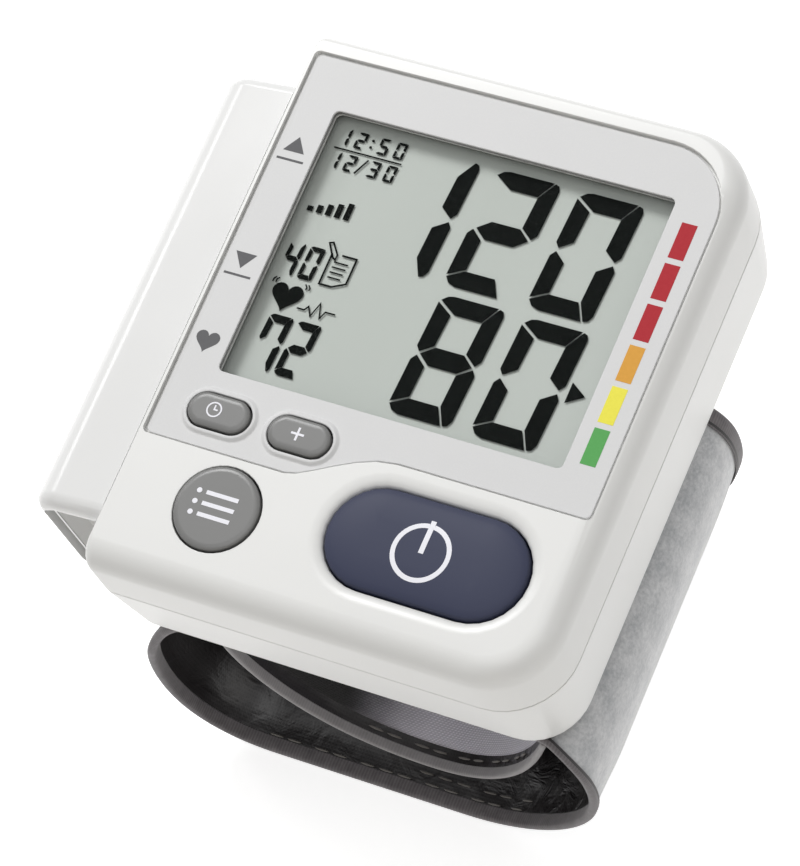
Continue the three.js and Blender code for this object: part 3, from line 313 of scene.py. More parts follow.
def solder_mask_board(name):
    """Glass-fibre board under green solder mask: a glossy film over a faint woven glass grid."""
    material, tree, shader, place = new_finish(name)
    weave = add_node(tree, "TexBrick",
                     {"Scale": per(1.2), "Color1": linear("1f6a3c"), "Color2": linear("237243"),
                      "Mortar": linear("1a5b34"), "Mortar Size": 0.05, "offset": 0.0,
                      "Brick Width": 1.0, "Row Height": 1.0}, {"Vector": place})
    bump = add_node(tree, "Bump", {"Strength": 0.2, "Distance": 0.01 * mm},
                    {"Height": weave.outputs["Fac"]})
    set_up(tree, shader, {"Roughness": 0.28}, {"Base Color": weave, "Normal": bump})
    return material


dress(["main_board"], solder_mask_board("solder_mask_on_glass_fibre"))
buttons = ("power", "memory", "clock", "plus")
dress(["controller_chip", "buzzer", "pressure_sensor"] + [f"{button}_switch" for button in buttons],
      moulded_plastic("moulded_black_epoxy", "1b1b1d", 0.5))
dress(["pump_head", "air_manifold", "air_nipple"] + [f"{button}_plunger" for button in buttons],
      moulded_plastic("moulded_natural_nylon", "d6d3c8", 0.45))
dress(["pump_motor", "exhaust_valve"], drawn_metal("drawn_steel_can", "b9bbbd", 0.36, 0.3))
dress(["pump_tube"], soft_rubber("extruded_silicone_tube", "cfcdc6"))
dress([f"housing_screw_{i}" for i in range(1, 5)],
      drawn_metal("zinc_plated_screw_steel", "a8aaae", 0.38, 0.2))


# Battery bay: two slim cells, one above the other in the wing, each shrink-wrapped in plain film,
# between nickel-plated spring contacts that are pressed into slots of the lower shell.
def cell_wrap(name):
    """Shrink-wrapped film on a steel cell: a plain slate-blue body with a pale band at one end."""
    band_from = 6.0 * mm
    material, tree, shader, place = new_finish(name)
    along = add_node(tree, "SeparateXYZ", links={"Vector": place})
    band = add_node(tree, "Math", {"operation": "GREATER_THAN", 1: band_from}, {0: along.outputs["Y"]})
    tint = add_node(tree, "Mix", {"data_type": "RGBA", 6: linear("5d6b7d"), 7: linear("c3c7cb")},
                    {0: band})
    scuff = add_node(tree, "TexNoise", {"Scale": per(2.0), "Detail": 6.0}, {"Vector": place})
    rough = add_node(tree, "MapRange", {"To Min": 0.3, "To Max": 0.45}, {"Value": scuff})
    set_up(tree, shader, {"Metallic": 0.6}, {"Base Color": tint, "Roughness": rough})
    return material


shrink_wrap = cell_wrap("shrink_wrapped_cell")
for cell in ("battery_cell_upper", "battery_cell_lower"):
    moulded_copy(cell, shrink_wrap, edge=0.25)
dress(["battery_link_contact", "battery_positive_contact", "battery_negative_contact"],
      drawn_metal("nickel_plated_spring_strip", "c9c6bd", 0.36, 0.2))


# Upper shell: the shallow half of the housing, moulded in the same white ABS, with the recess
# for the face panel, the rounded dish that the power button lies in and the button wells.
moulded_copy("upper_shell", white_abs, edge=0.12, narrow=0.24)


# Display: a reflective liquid-crystal cell in a black frame. Dark segments lie under the front
# glass, and the grey-green reflector a little below them catches their soft shadow.
window_low, window_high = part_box("display_window")
display_centre = (window_low + window_high) / 2
cell_low, cell_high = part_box("lcd_glass")
front_glass = 0.35 * mm
reflector_depth = 0.6 * mm
segment_film = 0.02 * mm


def on_display(x, y, z):
    """A point in millimetres from the middle of the display, as the wearer reads it."""
    return Vector((display_centre.x + x * mm, display_centre.y + y * mm, z))


def slab(low, high):
    """A plain plate between two corners."""
    mesh = bmesh.new()
    size = high - low
    bmesh.ops.create_cube(mesh, size=1.0, matrix=Matrix.LocRotScale((low + high) / 2, None, size))
    return mesh


def reflector_film(name):
    """Grey-green transflective film: a fine pearl grain and a slow drift in tone down the cell."""
    material, tree, shader, place = new_finish(name)
    pearl = add_node(tree, "TexNoise", {"Scale": per(0.25), "Detail": 3.0}, {"Vector": place})
    drift = add_node(tree, "TexNoise", {"Scale": per(40.0), "Detail": 1.0}, {"Vector": place})
    mixed = add_node(tree, "Mix", {"data_type": "FLOAT", 0: 0.8}, {2: pearl, 3: drift})
    tint = add_node(tree, "Mix", {"data_type": "RGBA", 6: linear("c6cec6"), 7: linear("dee4df")},
                    {0: mixed})
    set_up(tree, shader, {"Roughness": 0.55}, {"Base Color": tint})
    return material


def clear_pane(name, haze):
    """Clear moulded acrylic or glass: nearly all light goes through, with a thin even gloss."""
    material, tree, shader, place = new_finish(name)
    wave = add_node(tree, "TexNoise", {"Scale": per(12.0), "Detail": 1.0}, {"Vector": place})
    rough = add_node(tree, "MapRange", {"To Min": 0.03, "To Max": 0.08}, {"Value": wave})
    set_up(tree, shader,
           {"Base Color": linear("2a2c2b"), "IOR": 1.49, "Specular IOR Level": 0.1, "Alpha": haze},
           {"Roughness": rough})
    return material


rear_plate = slab(cell_low, Vector((cell_high.x, cell_high.y, cell_high.z - reflector_depth)))
finished_piece("lcd_rear_plate", rear_plate, reflector_film("transflective_lcd_film"), "base",
               "lcd_glass")
front_plate = slab(Vector((cell_low.x, cell_low.y, cell_high.z - front_glass)), cell_high)
finished_piece("lcd_front_glass", front_plate, clear_pane("polished_lcd_glass", 0.02), "base",
               "lcd_glass")

# The seven bars of a figure, on a cell 8.95 mm wide and 17 mm tall, corner by corner.
figure_width = 8.95
figure_height = 17.0
figure_lean = 0.048
figure_bars = {
    "a": [(0.2, 16.15), (0.9, 16.8), (1.7, 17.0), (7.9, 17.0), (6.55, 14.6), (2.75, 14.6)],
    "b": [(8.1, 16.95), (8.65, 16.75), (8.95, 16.1), (8.95, 9.55), (8.35, 8.75), (6.6, 10.0),
          (6.65, 14.5)],
    "c": [(8.4, 8.25), (8.95, 7.5), (8.95, 1.0), (8.55, 0.25), (7.95, 0.05), (6.6, 2.5), (6.6, 6.95)],
    "d": [(0.1, 1.15), (2.2, 2.4), (6.35, 2.4), (7.7, 0.0), (1.75, 0.0), (0.75, 0.35)],
    "e": [(0.55, 8.25), (2.2, 6.95), (2.2, 2.65), (0.0, 1.4), (0.0, 7.5)],
    "f": [(0.6, 8.75), (0.0, 9.45), (0.0, 15.85), (2.3, 14.45), (2.2, 9.95)],
    "g": [(0.85, 8.5), (2.45, 9.8), (6.45, 9.8), (8.1, 8.5), (6.55, 7.2), (2.55, 7.2)],
}
lit_bars = {"0": "abcdef", "1": "bc", "2": "abged", "3": "abgcd", "4": "fgbc", "5": "afgcd",
            "7": "fabc", "8": "abcdefg"}


def patch(mesh, points):
    """A flat patch of ink with these corners."""
    return mesh.faces.new([mesh.verts.new((p[0], p[1], 0.0)) for p in points])


def ribbon(mesh, points, width, closed=False):
    """A flat line of even width through these points, mitred at its corners."""
    least_mitre = 0.4
    points = [Vector(p[:2]) for p in points]
    count = len(points)
    rails = []
    for i, point in enumerate(points):
        ways = []
        if closed or i > 0:
            ways.append((point - points[i - 1]).normalized())
        if closed or i < count - 1:
            ways.append((points[(i + 1) % count] - point).normalized())
        along = sum(ways, Vector((0.0, 0.0))).normalized()
        side = Vector((-along.y, along.x))
        mitre = max(least_mitre, side.dot(Vector((-ways[0].y, ways[0].x))))
        reach = side * width / 2 / mitre
        rails.append([mesh.verts.new((*(point + reach), 0.0)), mesh.verts.new((*(point - reach), 0.0))])
    for i in range(count if closed else count - 1):
        one, other = rails[i], rails[(i + 1) % count]
        mesh.faces.new((one[0], one[1], other[1], other[0]))


def ring_points(x, y, radius, count):
    """Points round a circle."""
    turns = [2 * math.pi * i / count for i in range(count)]
    return [(x + radius * math.cos(t), y + radius * math.sin(t)) for t in turns]


def heart_points(x, y, size):
    """The plain heart curve, so many millimetres wide about its middle."""
    count = 36
    turns = [2 * math.pi * i / count for i in range(count)]
    return [(x + size * math.sin(t) ** 3 / 2,
             y + size * (13 * math.cos(t) - 5 * math.cos(2 * t) - 2 * math.cos(3 * t)
                         - math.cos(4 * t)) / 32) for t in turns]


def figure(mesh, digit, left, foot, width, height):
    """One leaning seven-bar figure with its lower left corner at (left, foot)."""
    for bar in lit_bars[digit]:
        patch(mesh, [(left + u * width / figure_width + figure_lean * v * height / figure_height,
                      foot + v * height / figure_height) for u, v in figure_bars[bar]])


def thicken(mesh, film):
    """Gives flat ink its film thickness, upwards."""
    grown = bmesh.ops.extrude_face_region(mesh, geom=list(mesh.faces))["geom"]
    raised = [v for v in grown if isinstance(v, bmesh.types.BMVert)]
    bmesh.ops.translate(mesh, verts=raised, vec=(0.0, 0.0, film))
    bmesh.ops.recalc_face_normals(mesh, faces=mesh.faces)


# Rows of figures: the digits, the left edge of each, the foot line, and a figure's width and height.
readout_rows = {
    "systolic": ("120", (-12.75, -1.45, 10.15), 0.8, figure_width, figure_height),
    "diastolic": ("80", (-1.55, 10.05), -17.45, figure_width, figure_height),
    "pulse": ("72", (-21.75, -17.75), -16.9, 3.35, 7.8),
    "memory": ("40", (-23.1, -20.3), -3.65, 2.1, 4.7),
    "time": ("1250", (-22.95, -20.6, -17.3, -14.95), 15.5, 1.4, 2.35),
    "date": ("1230", (-23.0, -20.7, -17.3, -14.95), 12.1, 1.4, 2.35),
}
readout = bmesh.new()
for digits, lefts, foot, width, height in readout_rows.values():
    for digit, left in zip(digits, lefts):
        figure(readout, digit, left, foot, width, height)

date_slash = [(-18.9, 12.1), (-17.75, 14.35)]
ribbon(readout, date_slash, width=0.24)
colon_x = -18.25
for dot in (16.15, 17.1):
    patch(readout, ring_points(colon_x, dot, radius=0.2, count=10))
rule = [(-23.0, 14.95), (-13.3, 14.95)]
ribbon(readout, rule, width=0.2)

steps_left, steps_foot, step_pitch, step_width = -22.9, 5.6, 1.3, 0.8
lowest_step, step_rise = 0.7, 0.42
for step in range(5):
    top = steps_foot + lowest_step + step_rise * step
    left = steps_left + step_pitch * step
    right = left + step_width
    patch(readout, [(left, steps_foot), (right, steps_foot), (right, top), (left, top)])

page = [(-17.0, 0.85), (-17.0, -3.6), (-15.2, -3.6), (-13.5, -2.75), (-13.5, 0.85), (-15.6, 0.85)]
ribbon(readout, page, width=0.25)
line_left, line_right, line_top, line_pitch, line_taper = -16.3, -14.3, -0.25, 0.72, 0.05
for row in range(4):
    level = line_top - line_pitch * row
    ribbon(readout, [(line_left, level), (line_right - line_taper * row, level)], width=0.2)
pencil = [(-17.95, 2.1), (-17.45, 2.3), (-16.25, 0.75), (-16.3, 0.05), (-16.8, 0.35)]
ribbon(readout, pencil, width=0.22, closed=True)

pulse_heart_x = -20.45
patch(readout, heart_points(pulse_heart_x, -6.35, size=4.35))
for side in (-1, 1):
    for offset in (1.85, 2.3):
        tick_x = pulse_heart_x + side * offset
        tick_foot = tick_x + side * 0.3
        ribbon(readout, [(tick_x, -4.2), (tick_foot, -4.55), (tick_foot, -4.95)], width=0.18)
pulse_line = [(-18.4, -7.55), (-17.35, -7.55), (-16.95, -6.95), (-16.25, -8.15), (-15.6, -6.15),
              (-14.95, -8.15), (-14.5, -7.1), (-13.1, -7.1)]
ribbon(readout, pulse_line, width=0.2)
scale_arrow = [(20.15, -7.15), (22.4, -8.6), (20.15, -10.05)]
patch(readout, scale_arrow)
thicken(readout, segment_film / mm)
segments_z = cell_high.z - front_glass - 2 * segment_film
sight_drop = (cell_high.z - segments_z) / toward_camera.z
sunk = Vector((-toward_camera.x, -toward_camera.y, 0.0)) * sight_drop
bmesh.ops.transform(readout, verts=readout.verts, space=Matrix.Identity(4),
                    matrix=Matrix.Translation(on_display(0.0, 0.0, segments_z) + sunk)
                    @ Matrix.Scale(mm, 4))


def liquid_crystal(name):
    """Twisted liquid crystal between crossed films: almost black, a touch green, quite matt."""
    material, tree, shader, place = new_finish(name)
    cloud = add_node(tree, "TexNoise", {"Scale": per(3.0), "Detail": 2.0}, {"Vector": place})
    tint = add_node(tree, "Mix", {"data_type": "RGBA", 6: linear("0d100f"), 7: linear("141816")},
                    {0: cloud})
    set_up(tree, shader, {"Roughness": 0.5, "Specular IOR Level": 0.02}, {"Base Color": tint})
    return material


finished_piece("lcd_readout", readout, liquid_crystal("dark_liquid_crystal"), "base")
dress(["lcd_frame"], moulded_plastic("moulded_grey_frame", "9a9d9b", 0.5))
dress(["lcd_connector_far", "lcd_connector_near"], soft_rubber("zebra_connector_rubber", "4a4a4e"))


# Display window: a clear acrylic pane, moulded and polished, glued under the face panel's opening.
# It lets almost all the light through and keeps dust off the display.
moulded_copy("display_window", clear_pane("polished_clear_acrylic", 0.03), edge=0.12)


# Face panel: a thin silver-grey overlay of printed polycarbonate in the shell's recess.
# Its colour scale and its small signs are screen printed on the front.
def printed_overlay(name, shade):
    """Screen-printed polycarbonate: a silver-grey ink with a very fine sparkle and a satin coat."""
    material, tree, shader, place = new_finish(name)
    flake = add_node(tree, "TexVoronoi", {"Scale": per(0.18)}, {"Vector": place})
    cloud = add_node(tree, "TexNoise", {"Scale": per(9.0), "Detail": 2.0}, {"Vector": place})
    colour = linear(shade)
    shaded = [c * 0.94 for c in colour[:3]] + [1.0]
    level = add_node(tree, "Mix", {"data_type": "FLOAT", 0: 0.5}, {2: flake, 3: cloud})
    tint = add_node(tree, "Mix", {"data_type": "RGBA", 6: shaded, 7: colour}, {0: level})
    bump = add_node(tree, "Bump", {"Strength": 0.12, "Distance": 0.004 * mm}, {"Height": flake})
    set_up(tree, shader, {"Roughness": 0.5, "Specular IOR Level": 0.25},
           {"Base Color": tint, "Normal": bump})
    return material


def screen_ink(name, shade):
    """Screen-printed ink: a flat matt film with the faint mottle that the mesh leaves."""
    material, tree, shader, place = new_finish(name)
    mottle = add_node(tree, "TexNoise", {"Scale": per(0.35), "Detail": 3.0}, {"Vector": place})
    colour = linear(shade)
    thin = [min(1.0, c * 1.1 + 0.01) for c in colour[:3]] + [1.0]
    tint = add_node(tree, "Mix", {"data_type": "RGBA", 6: colour, 7: thin}, {0: mottle})
    set_up(tree, shader, {"Roughness": 0.6, "Specular IOR Level": 0.2}, {"Base Color": tint})
    return material


moulded_copy("face_panel", printed_overlay("printed_silver_overlay", "dadada"), edge=0.12)
ink_film = 0.03
ink_slice = 0.8


def print_on(name, mesh, node, finish):
    """Lays flat ink, drawn in millimetres from the middle of the display, on a node's upper surface."""
    reach = max(max(abs(v.co.x), abs(v.co.y)) for v in mesh.verts)
    cuts = int(2 * reach / ink_slice)
    for axis in (Vector((1, 0, 0)), Vector((0, 1, 0))):
        for i in range(cuts + 1):
            bmesh.ops.bisect_plane(mesh, geom=mesh.verts[:] + mesh.edges[:] + mesh.faces[:],
                                   plane_co=axis * (i * ink_slice - reach), plane_no=axis)
    solid = frame["nodes"][node].data
    surface = BVHTree.FromPolygons([v.co for v in solid.vertices], [p.vertices for p in solid.polygons])
    thicken(mesh, ink_film)
    above = cad_box[1][2] + 10 * mm
    for vert in mesh.verts:
        start = on_display(vert.co.x, vert.co.y, above)
        landing = surface.ray_cast(start, Vector((0, 0, -1)))[0]
        vert.co = landing + Vector((0, 0, vert.co.z * mm))
    finished_piece(name, mesh, finish, frame["nodes"][node]["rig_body"])


bar_left = 25.9
bar_right = 28.0
bar_top = 16.3
bar_tall = 5.0
bar_pitch = 5.8
bar_shades = {"red": "a8202b", "orange": "d59b3e", "yellow": "e8e04e", "green": "55a055"}
bar_inks = {ink: screen_ink(f"printed_{ink}_ink", shade) for ink, shade in bar_shades.items()}
for i, ink in enumerate(("red", "red", "red", "orange", "yellow", "green")):
    top = bar_top - i * bar_pitch
    bar = bmesh.new()
    patch(bar, [(bar_left, top - bar_tall), (bar_right, top - bar_tall), (bar_right, top), (bar_left, top)])
    print_on(f"scale_bar_{i + 1}_{ink}", bar, "face_panel", bar_inks[ink])

sign_x = -27.0
arrow_half = 1.5
arrow_tall = 2.2
rule_half = 1.9
rule_width = 0.3
signs = bmesh.new()
patch(signs, [(sign_x - arrow_half, 12.0), (sign_x + arrow_half, 12.0), (sign_x, 12.0 + arrow_tall)])
patch(signs, [(sign_x - arrow_half, -3.0), (sign_x, -3.0 - arrow_tall), (sign_x + arrow_half, -3.0)])
for level in (10.8, -6.2):
    ribbon(signs, [(sign_x - rule_half, level), (sign_x + rule_half, level)], rule_width)
patch(signs, heart_points(sign_x, -15.7, size=3.3))
print_on("panel_signs", signs, "face_panel", screen_ink("printed_grey_ink", "5c5c5e"))


# Buttons: caps moulded in navy and grey ABS with satin tops, each on a plunger over its switch.
# The signs on them are pad printed in white and follow the crown of the cap.
navy_abs = moulded_plastic("moulded_navy_abs", "373b50", 0.5, peel_size=0.35, gloss=0.2)
grey_abs = moulded_plastic("moulded_grey_abs", "747473", 0.33, peel_size=0.35, gloss=0.45)
white_ink = screen_ink("printed_white_ink", "ececf2")
moulded_copy("power_button", navy_abs, edge=0.3, narrow=0.6)
moulded_copy("memory_button", grey_abs, edge=0.22, narrow=0.44)
for cap in ("clock_button", "plus_button"):
    moulded_copy(cap, grey_abs, edge=0.12, narrow=0.24)

power_x, power_y, power_radius, power_stroke = 11.85, -34.75, 3.6, 0.68
power_sign = bmesh.new()
half_gap = power_stroke / 2 / power_radius
ring_steps = 44
ring_turns = [math.pi / 2 + half_gap + 2 * (math.pi - half_gap) * i / ring_steps
              for i in range(ring_steps + 1)]
ribbon(power_sign, [(power_x + power_radius * math.cos(t), power_y + power_radius * math.sin(t))
                    for t in ring_turns], width=0.62)
ribbon(power_sign, [(power_x, power_y + 4.35), (power_x, power_y - 0.1)], power_stroke)
print_on("power_sign", power_sign, "power_button", white_ink)

memory_x, memory_y, row_pitch = -16.2, -36.7, 1.5
memory_sign = bmesh.new()
for row in (-1, 0, 1):
    level = memory_y + row_pitch * row
    patch(memory_sign, ring_points(memory_x - 2.6, level, radius=0.36, count=12))
    ribbon(memory_sign, [(memory_x - 1.6, level), (memory_x + 2.9, level)], width=0.55)
print_on("memory_sign", memory_sign, "memory_button", white_ink)

clock_x, clock_y, clock_stroke = -21.6, -24.6, 0.2
clock_hands = [(clock_x, clock_y + 0.62), (clock_x, clock_y), (clock_x + 0.5, clock_y)]
clock_sign = bmesh.new()
ribbon(clock_sign, ring_points(clock_x, clock_y, radius=0.95, count=28), clock_stroke, closed=True)
ribbon(clock_sign, clock_hands, clock_stroke)
print_on("clock_sign", clock_sign, "clock_button", white_ink)

plus_x, plus_y, plus_arm, plus_stroke = -9.75, -24.6, 0.9, 0.15
plus_sign = bmesh.new()
quarter = [(plus_stroke, plus_arm), (-plus_stroke, plus_arm), (-plus_stroke, plus_stroke)]
corners = []
for turn in range(4):
    corners += quarter
    quarter = [(-y, x) for x, y in quarter]
patch(plus_sign, [(plus_x + x, plus_y + y) for x, y in corners])
print_on("plus_sign", plus_sign, "plus_button", white_ink)


# Battery cover: the long curved lid of the wing, moulded in white ABS a little glossier than
# the shells. It snaps over the lips of the battery bay and pulls straight off to the left.
cover_abs = moulded_plastic("moulded_glossy_white_abs", "e3e3e2", 0.2)
moulded_copy("battery_cover", cover_abs, edge=0.1, narrow=0.25)


# Cuff strap: a padded band that runs once round the wrist under the housing. Its outside is light
# grey hook-and-loop pile, its inside black coated nylon, and the two are sewn in a taped edge.
path_step = 1.4 * mm
bend_steps = 60


def side_curve(start, pull_out, pull_in, end):
    """Points on one bend of the cuff, seen from the side, from (x, z) corners in metres."""
    corners = [Vector((x, 0.0, z)) for x, z in (start, pull_out, pull_in, end)]
    return geometry.interpolate_bezier(*corners, bend_steps)


def even_path(points, looped):
    """Evenly spaced points on a side curve, each with its outward direction and its distance."""
    same_point = 1e-7
    points = [p for i, p in enumerate(points) if i == 0 or (p - points[i - 1]).length > same_point]
    if looped and (points[0] - points[-1]).length < same_point:
        points.pop()
    ends = points[1:] + points[:1] if looped else points[1:]
    lengths = [(b - a).length for a, b in zip(points, ends)]
    total = sum(lengths)
    count = round(total / path_step)
    stations = []
    run = 0.0
    k = 0
    for i in range(count if looped else count + 1):
        wanted = total * i / count
        while k < len(lengths) - 1 and run + lengths[k] < wanted:
            run += lengths[k]
            k += 1
        share = (wanted - run) / lengths[k]
        place = points[k].lerp(ends[k], share)
        stations.append([place, None, wanted])
    for i, station in enumerate(stations):
        before = stations[i - 1] if looped or i > 0 else station
        after = stations[(i + 1) % len(stations)] if looped or i < len(stations) - 1 else station
        along = (after[0] - before[0]).normalized()
        station[1] = Vector((along.z, 0.0, -along.x))
    return stations, total


def wrapped(stations, section, looped, total):
    """Carries a closed section of (across, proud) points along the path, with a UV map in metres."""
    mesh = bmesh.new()
    girths = [0.0]
    for one, other in zip(section, section[1:]):
        girths.append(girths[-1] + math.dist(one, other))
    round_trip = girths[-1] + math.dist(section[-1], section[0])
    spots = {}
    rings = []
    for place, outward, run in stations:
        ring = []
        for (across, proud), girth in zip(section, girths):
            vert = mesh.verts.new(place + outward * proud + Vector((0.0, across, 0.0)))
            spots[vert] = (run, girth)
            ring.append(vert)
        rings.append([mesh.edges.new(pair) for pair in zip(ring, ring[1:] + ring[:1])])
    for ring, following in zip(rings, rings[1:] + (rings[:1] if looped else [])):
        bmesh.ops.bridge_loops(mesh, edges=ring + following)
    cloth = mesh.loops.layers.uv.new("cloth")
    for face in mesh.faces:
        for axis, span in ((0, total), (1, round_trip)):
            values = [spots[loop.vert][axis] for loop in face.loops]
            crossing = max(values) - min(values) > span / 2
            for loop, value in zip(face.loops, values):
                loop[cloth].uv[axis] = value + (span if crossing and value < span / 2 else 0.0)
    if not looped:
        open_edges = [e for e in mesh.edges if e.is_boundary]
        bmesh.ops.holes_fill(mesh, edges=open_edges, sides=0)
    bmesh.ops.recalc_face_normals(mesh, faces=mesh.faces)
    return mesh


def crumple(mesh, wave, height, seed, beyond=-math.inf):
    """Moves the cloth right of a place in and out along its normals in soft uneven waves, which
    die out toward the sewn edges."""
    mesh.normal_update()
    shift = Vector((seed, 2.0 * seed, 3.0 * seed))
    seam = 2.4 * mm
    low_seam = min(v.co.y for v in mesh.verts) + seam
    high_seam = max(v.co.y for v in mesh.verts) - seam
    for vert in mesh.verts:
        inward = min(vert.co.y - low_seam, high_seam - vert.co.y) / (2 * seam)
        if vert.co.x > beyond and inward > 0.0:
            vert.co += vert.normal * noise.noise(vert.co / wave + shift) * height * min(1.0, inward)


def draw_back(mesh, edge, reach, setback, start, end):
    """Draws cloth near one edge back, fully at the height of one point and left of it, and not at
    all at the height of the other or right of it."""
    for vert in mesh.verts:
        nearness = min(1.0, max(0.0, 1.0 - (vert.co.y - edge) / reach))
        height = min(1.0, max(0.0, (vert.co.z - end.z) / (start.z - end.z)))
        leftness = min(1.0, max(0.0, (end.x - vert.co.x) / (end.x - start.x)))
        vert.co.y += setback * nearness * height * leftness


def cloth_piece(name, mesh, finish, node):
    """A sewn piece of the cuff, smoothed by one subdivision."""
    piece = finished_piece(name, mesh, finish, "base", node, smooth_under=60)
    rounding = piece.modifiers.new("rounding", "SUBSURF")
    rounding.levels = 1
    rounding.render_levels = 1
    return piece


def loop_pile(name, shade, shadow, painted_shade_top, painted_shade_bottom):
    """Brushed loop pile: short tangled nylon loops that mottle the colour and scatter light
    softly at grazing angles. The loops are drawn about twice their size so that they show.
    Above one height a painted shade darkens the colour, standing in for the housing's shadow; below the
    other there is none."""
    material, tree, shader, place = new_finish(name)
    tufts = add_node(tree, "TexNoise",
                     {"Scale": per(0.55), "Detail": 4.0, "Roughness": 0.65}, {"Vector": place})
    patches = add_node(tree, "TexNoise", {"Scale": per(3.2), "Detail": 3.0}, {"Vector": place})
    level = add_node(tree, "Mix", {"data_type": "FLOAT", 0: 0.45}, {2: tufts, 3: patches})
    spread = add_node(tree, "MapRange", {"From Min": 0.36, "From Max": 0.62}, {"Value": level})
    tint = add_node(tree, "Mix", {"data_type": "RGBA", 6: linear(shadow), 7: linear(shade)}, {0: spread})
    height = add_node(tree, "SeparateXYZ", links={"Vector": place})
    # Painted shade: the colour darkens upward towards the housing, in place of its shadow.
    stand = add_node(tree, "MapRange", {"From Min": painted_shade_top, "From Max": painted_shade_bottom, "To Min": 0.62},
                     {"Value": height.outputs["Z"]})
    tint_with_painted_shade = add_node(tree, "VectorMath", {"operation": "SCALE"}, {"Vector": tint, "Scale": stand})
    bump = add_node(tree, "Bump", {"Strength": 0.6, "Distance": 0.12 * mm}, {"Height": level})
    set_up(tree, shader, {"Roughness": 0.95, "Sheen Weight": 1.0, "Sheen Roughness": 0.6},
           {"Base Color": tint_with_painted_shade, "Normal": bump})
    return material


def coated_nylon(name, shade, sheen_shade):
    """Nylon taffeta with a coated back: a tight plain weave under a thin film, near black, that
    gives a low silky shine broken by creases, soft at the left and sharp at the right."""
    thread_pitch = 0.5
    soft_until, sharp_from = 6 * mm, 24 * mm
    material, tree, shader, cloth = new_finish(name, "UV")
    place = add_node(tree, "TexCoord").outputs["Object"]
    warp = add_node(tree, "TexWave",
                    {"Scale": per_band(thread_pitch), "bands_direction": "X"}, {"Vector": cloth})
    weft = add_node(tree, "TexWave",
                    {"Scale": per_band(thread_pitch), "bands_direction": "Y"}, {"Vector": cloth})
    weave = add_node(tree, "Math", {"operation": "MAXIMUM"},
                     {0: warp.outputs["Fac"], 1: weft.outputs["Fac"]})
    crease = add_node(tree, "TexNoise",
                      {"Scale": per(3.6), "Detail": 4.0, "Distortion": 1.2}, {"Vector": place})
    tint = add_node(tree, "Mix", {"data_type": "RGBA", 6: linear(shade), 7: linear(sheen_shade)},
                    {0: weave})
    fine = add_node(tree, "Bump", {"Strength": 0.25, "Distance": 0.03 * mm}, {"Height": weave})
    side = add_node(tree, "SeparateXYZ", links={"Vector": place})
    sharpness = add_node(tree, "MapRange",
                         {"From Min": soft_until, "From Max": sharp_from, "To Min": 0.22, "To Max": 1.0},
                         {"Value": side.outputs["X"]})
    soft = add_node(tree, "Bump", {"Distance": 0.6 * mm},
                    {"Strength": sharpness, "Height": crease, "Normal": fine})
    set_up(tree, shader, {"Roughness": 0.32, "Specular IOR Level": 0.55},
           {"Base Color": tint, "Normal": soft})
    return material


def edge_tape(name, shade, dark, hem=-1.0):
    """Woven polyester binding tape: fine cross ribs, each a slightly raised thread. Its outer hem
    of so many metres is pulled down by the seam, and a painted shadow darkens it there."""
    seam_shadow_shade = "242223"
    material, tree, shader, cloth = new_finish(name, "UV")
    ribs = add_node(tree, "TexWave", {"Scale": per_band(0.45), "bands_direction": "X", "Distortion": 0.6},
                    {"Vector": cloth})
    threads = add_node(tree, "TexNoise", {"Scale": per(1.6), "Detail": 5.0}, {"Vector": cloth})
    level = add_node(tree, "Mix", {"data_type": "FLOAT", 0: 0.75}, {2: ribs.outputs["Fac"], 3: threads})
    tint = add_node(tree, "Mix", {"data_type": "RGBA", 6: linear(dark), 7: linear(shade)}, {0: level})
    girth = add_node(tree, "SeparateXYZ", links={"Vector": cloth})
    # Painted shadow of the seam: the hem band gets a near-black colour.
    raised = add_node(tree, "Math", {"operation": "GREATER_THAN", 1: hem}, {0: girth.outputs["Y"]})
    sewn = add_node(tree, "Mix", {"data_type": "RGBA", 6: linear(seam_shadow_shade)}, {0: raised, 7: tint})
    bump = add_node(tree, "Bump", {"Strength": 0.4, "Distance": 0.05 * mm}, {"Height": level})
    set_up(tree, shader, {"Roughness": 0.75, "Sheen Weight": 0.25}, {"Base Color": sewn, "Normal": bump})
    return material


def taped_edge(edge, way, outer_width, inner_width, thickness, film):
    """The section of a tape folded round the thin edge of a band, flush with its outer face."""
    half = thickness / 2
    fold_steps = 8
    flattening = 0.8
    outside = [(outer_width, 0.0)]
    inside = [(outer_width, -film)]
    for i in range(fold_steps + 1):
        turn = math.pi * i / fold_steps
        outside.append((half * flattening * (1 - math.sin(turn)), -half + half * math.cos(turn)))
        inside.append((film + (half - film) * flattening * (1 - math.sin(turn)),
                       -half + (half - film) * math.cos(turn)))
    outside.append((inner_width, -thickness))
    inside.append((inner_width, -thickness + film))
    return [(edge + way * across, proud) for across, proud in outside + inside[::-1]]


def pillow(near, far, face, back, seam, swell):
    """The section of one ply: flat at its back, drawn in along the two seams and swollen between."""
    hem = 0.6 * mm
    rise = 9 * mm
    rise_steps = 6
    back_steps = 7
    half = [(near + hem, back), (near + hem, face - swell), (near + seam, face - swell)]
    for i in range(1, rise_steps + 1):
        share = i / rise_steps
        half.append((near + seam + share * rise, face - swell * (1 - math.sin(share * math.pi / 2))))
    mirrored = [(near + far - across, proud) for across, proud in half[::-1]]
    middle = [((near + far) / 2, face)]
    closing = [(far - hem + (near - far + 2 * hem) * i / back_steps, back) for i in range(1, back_steps)]
    return half + middle + mirrored + closing


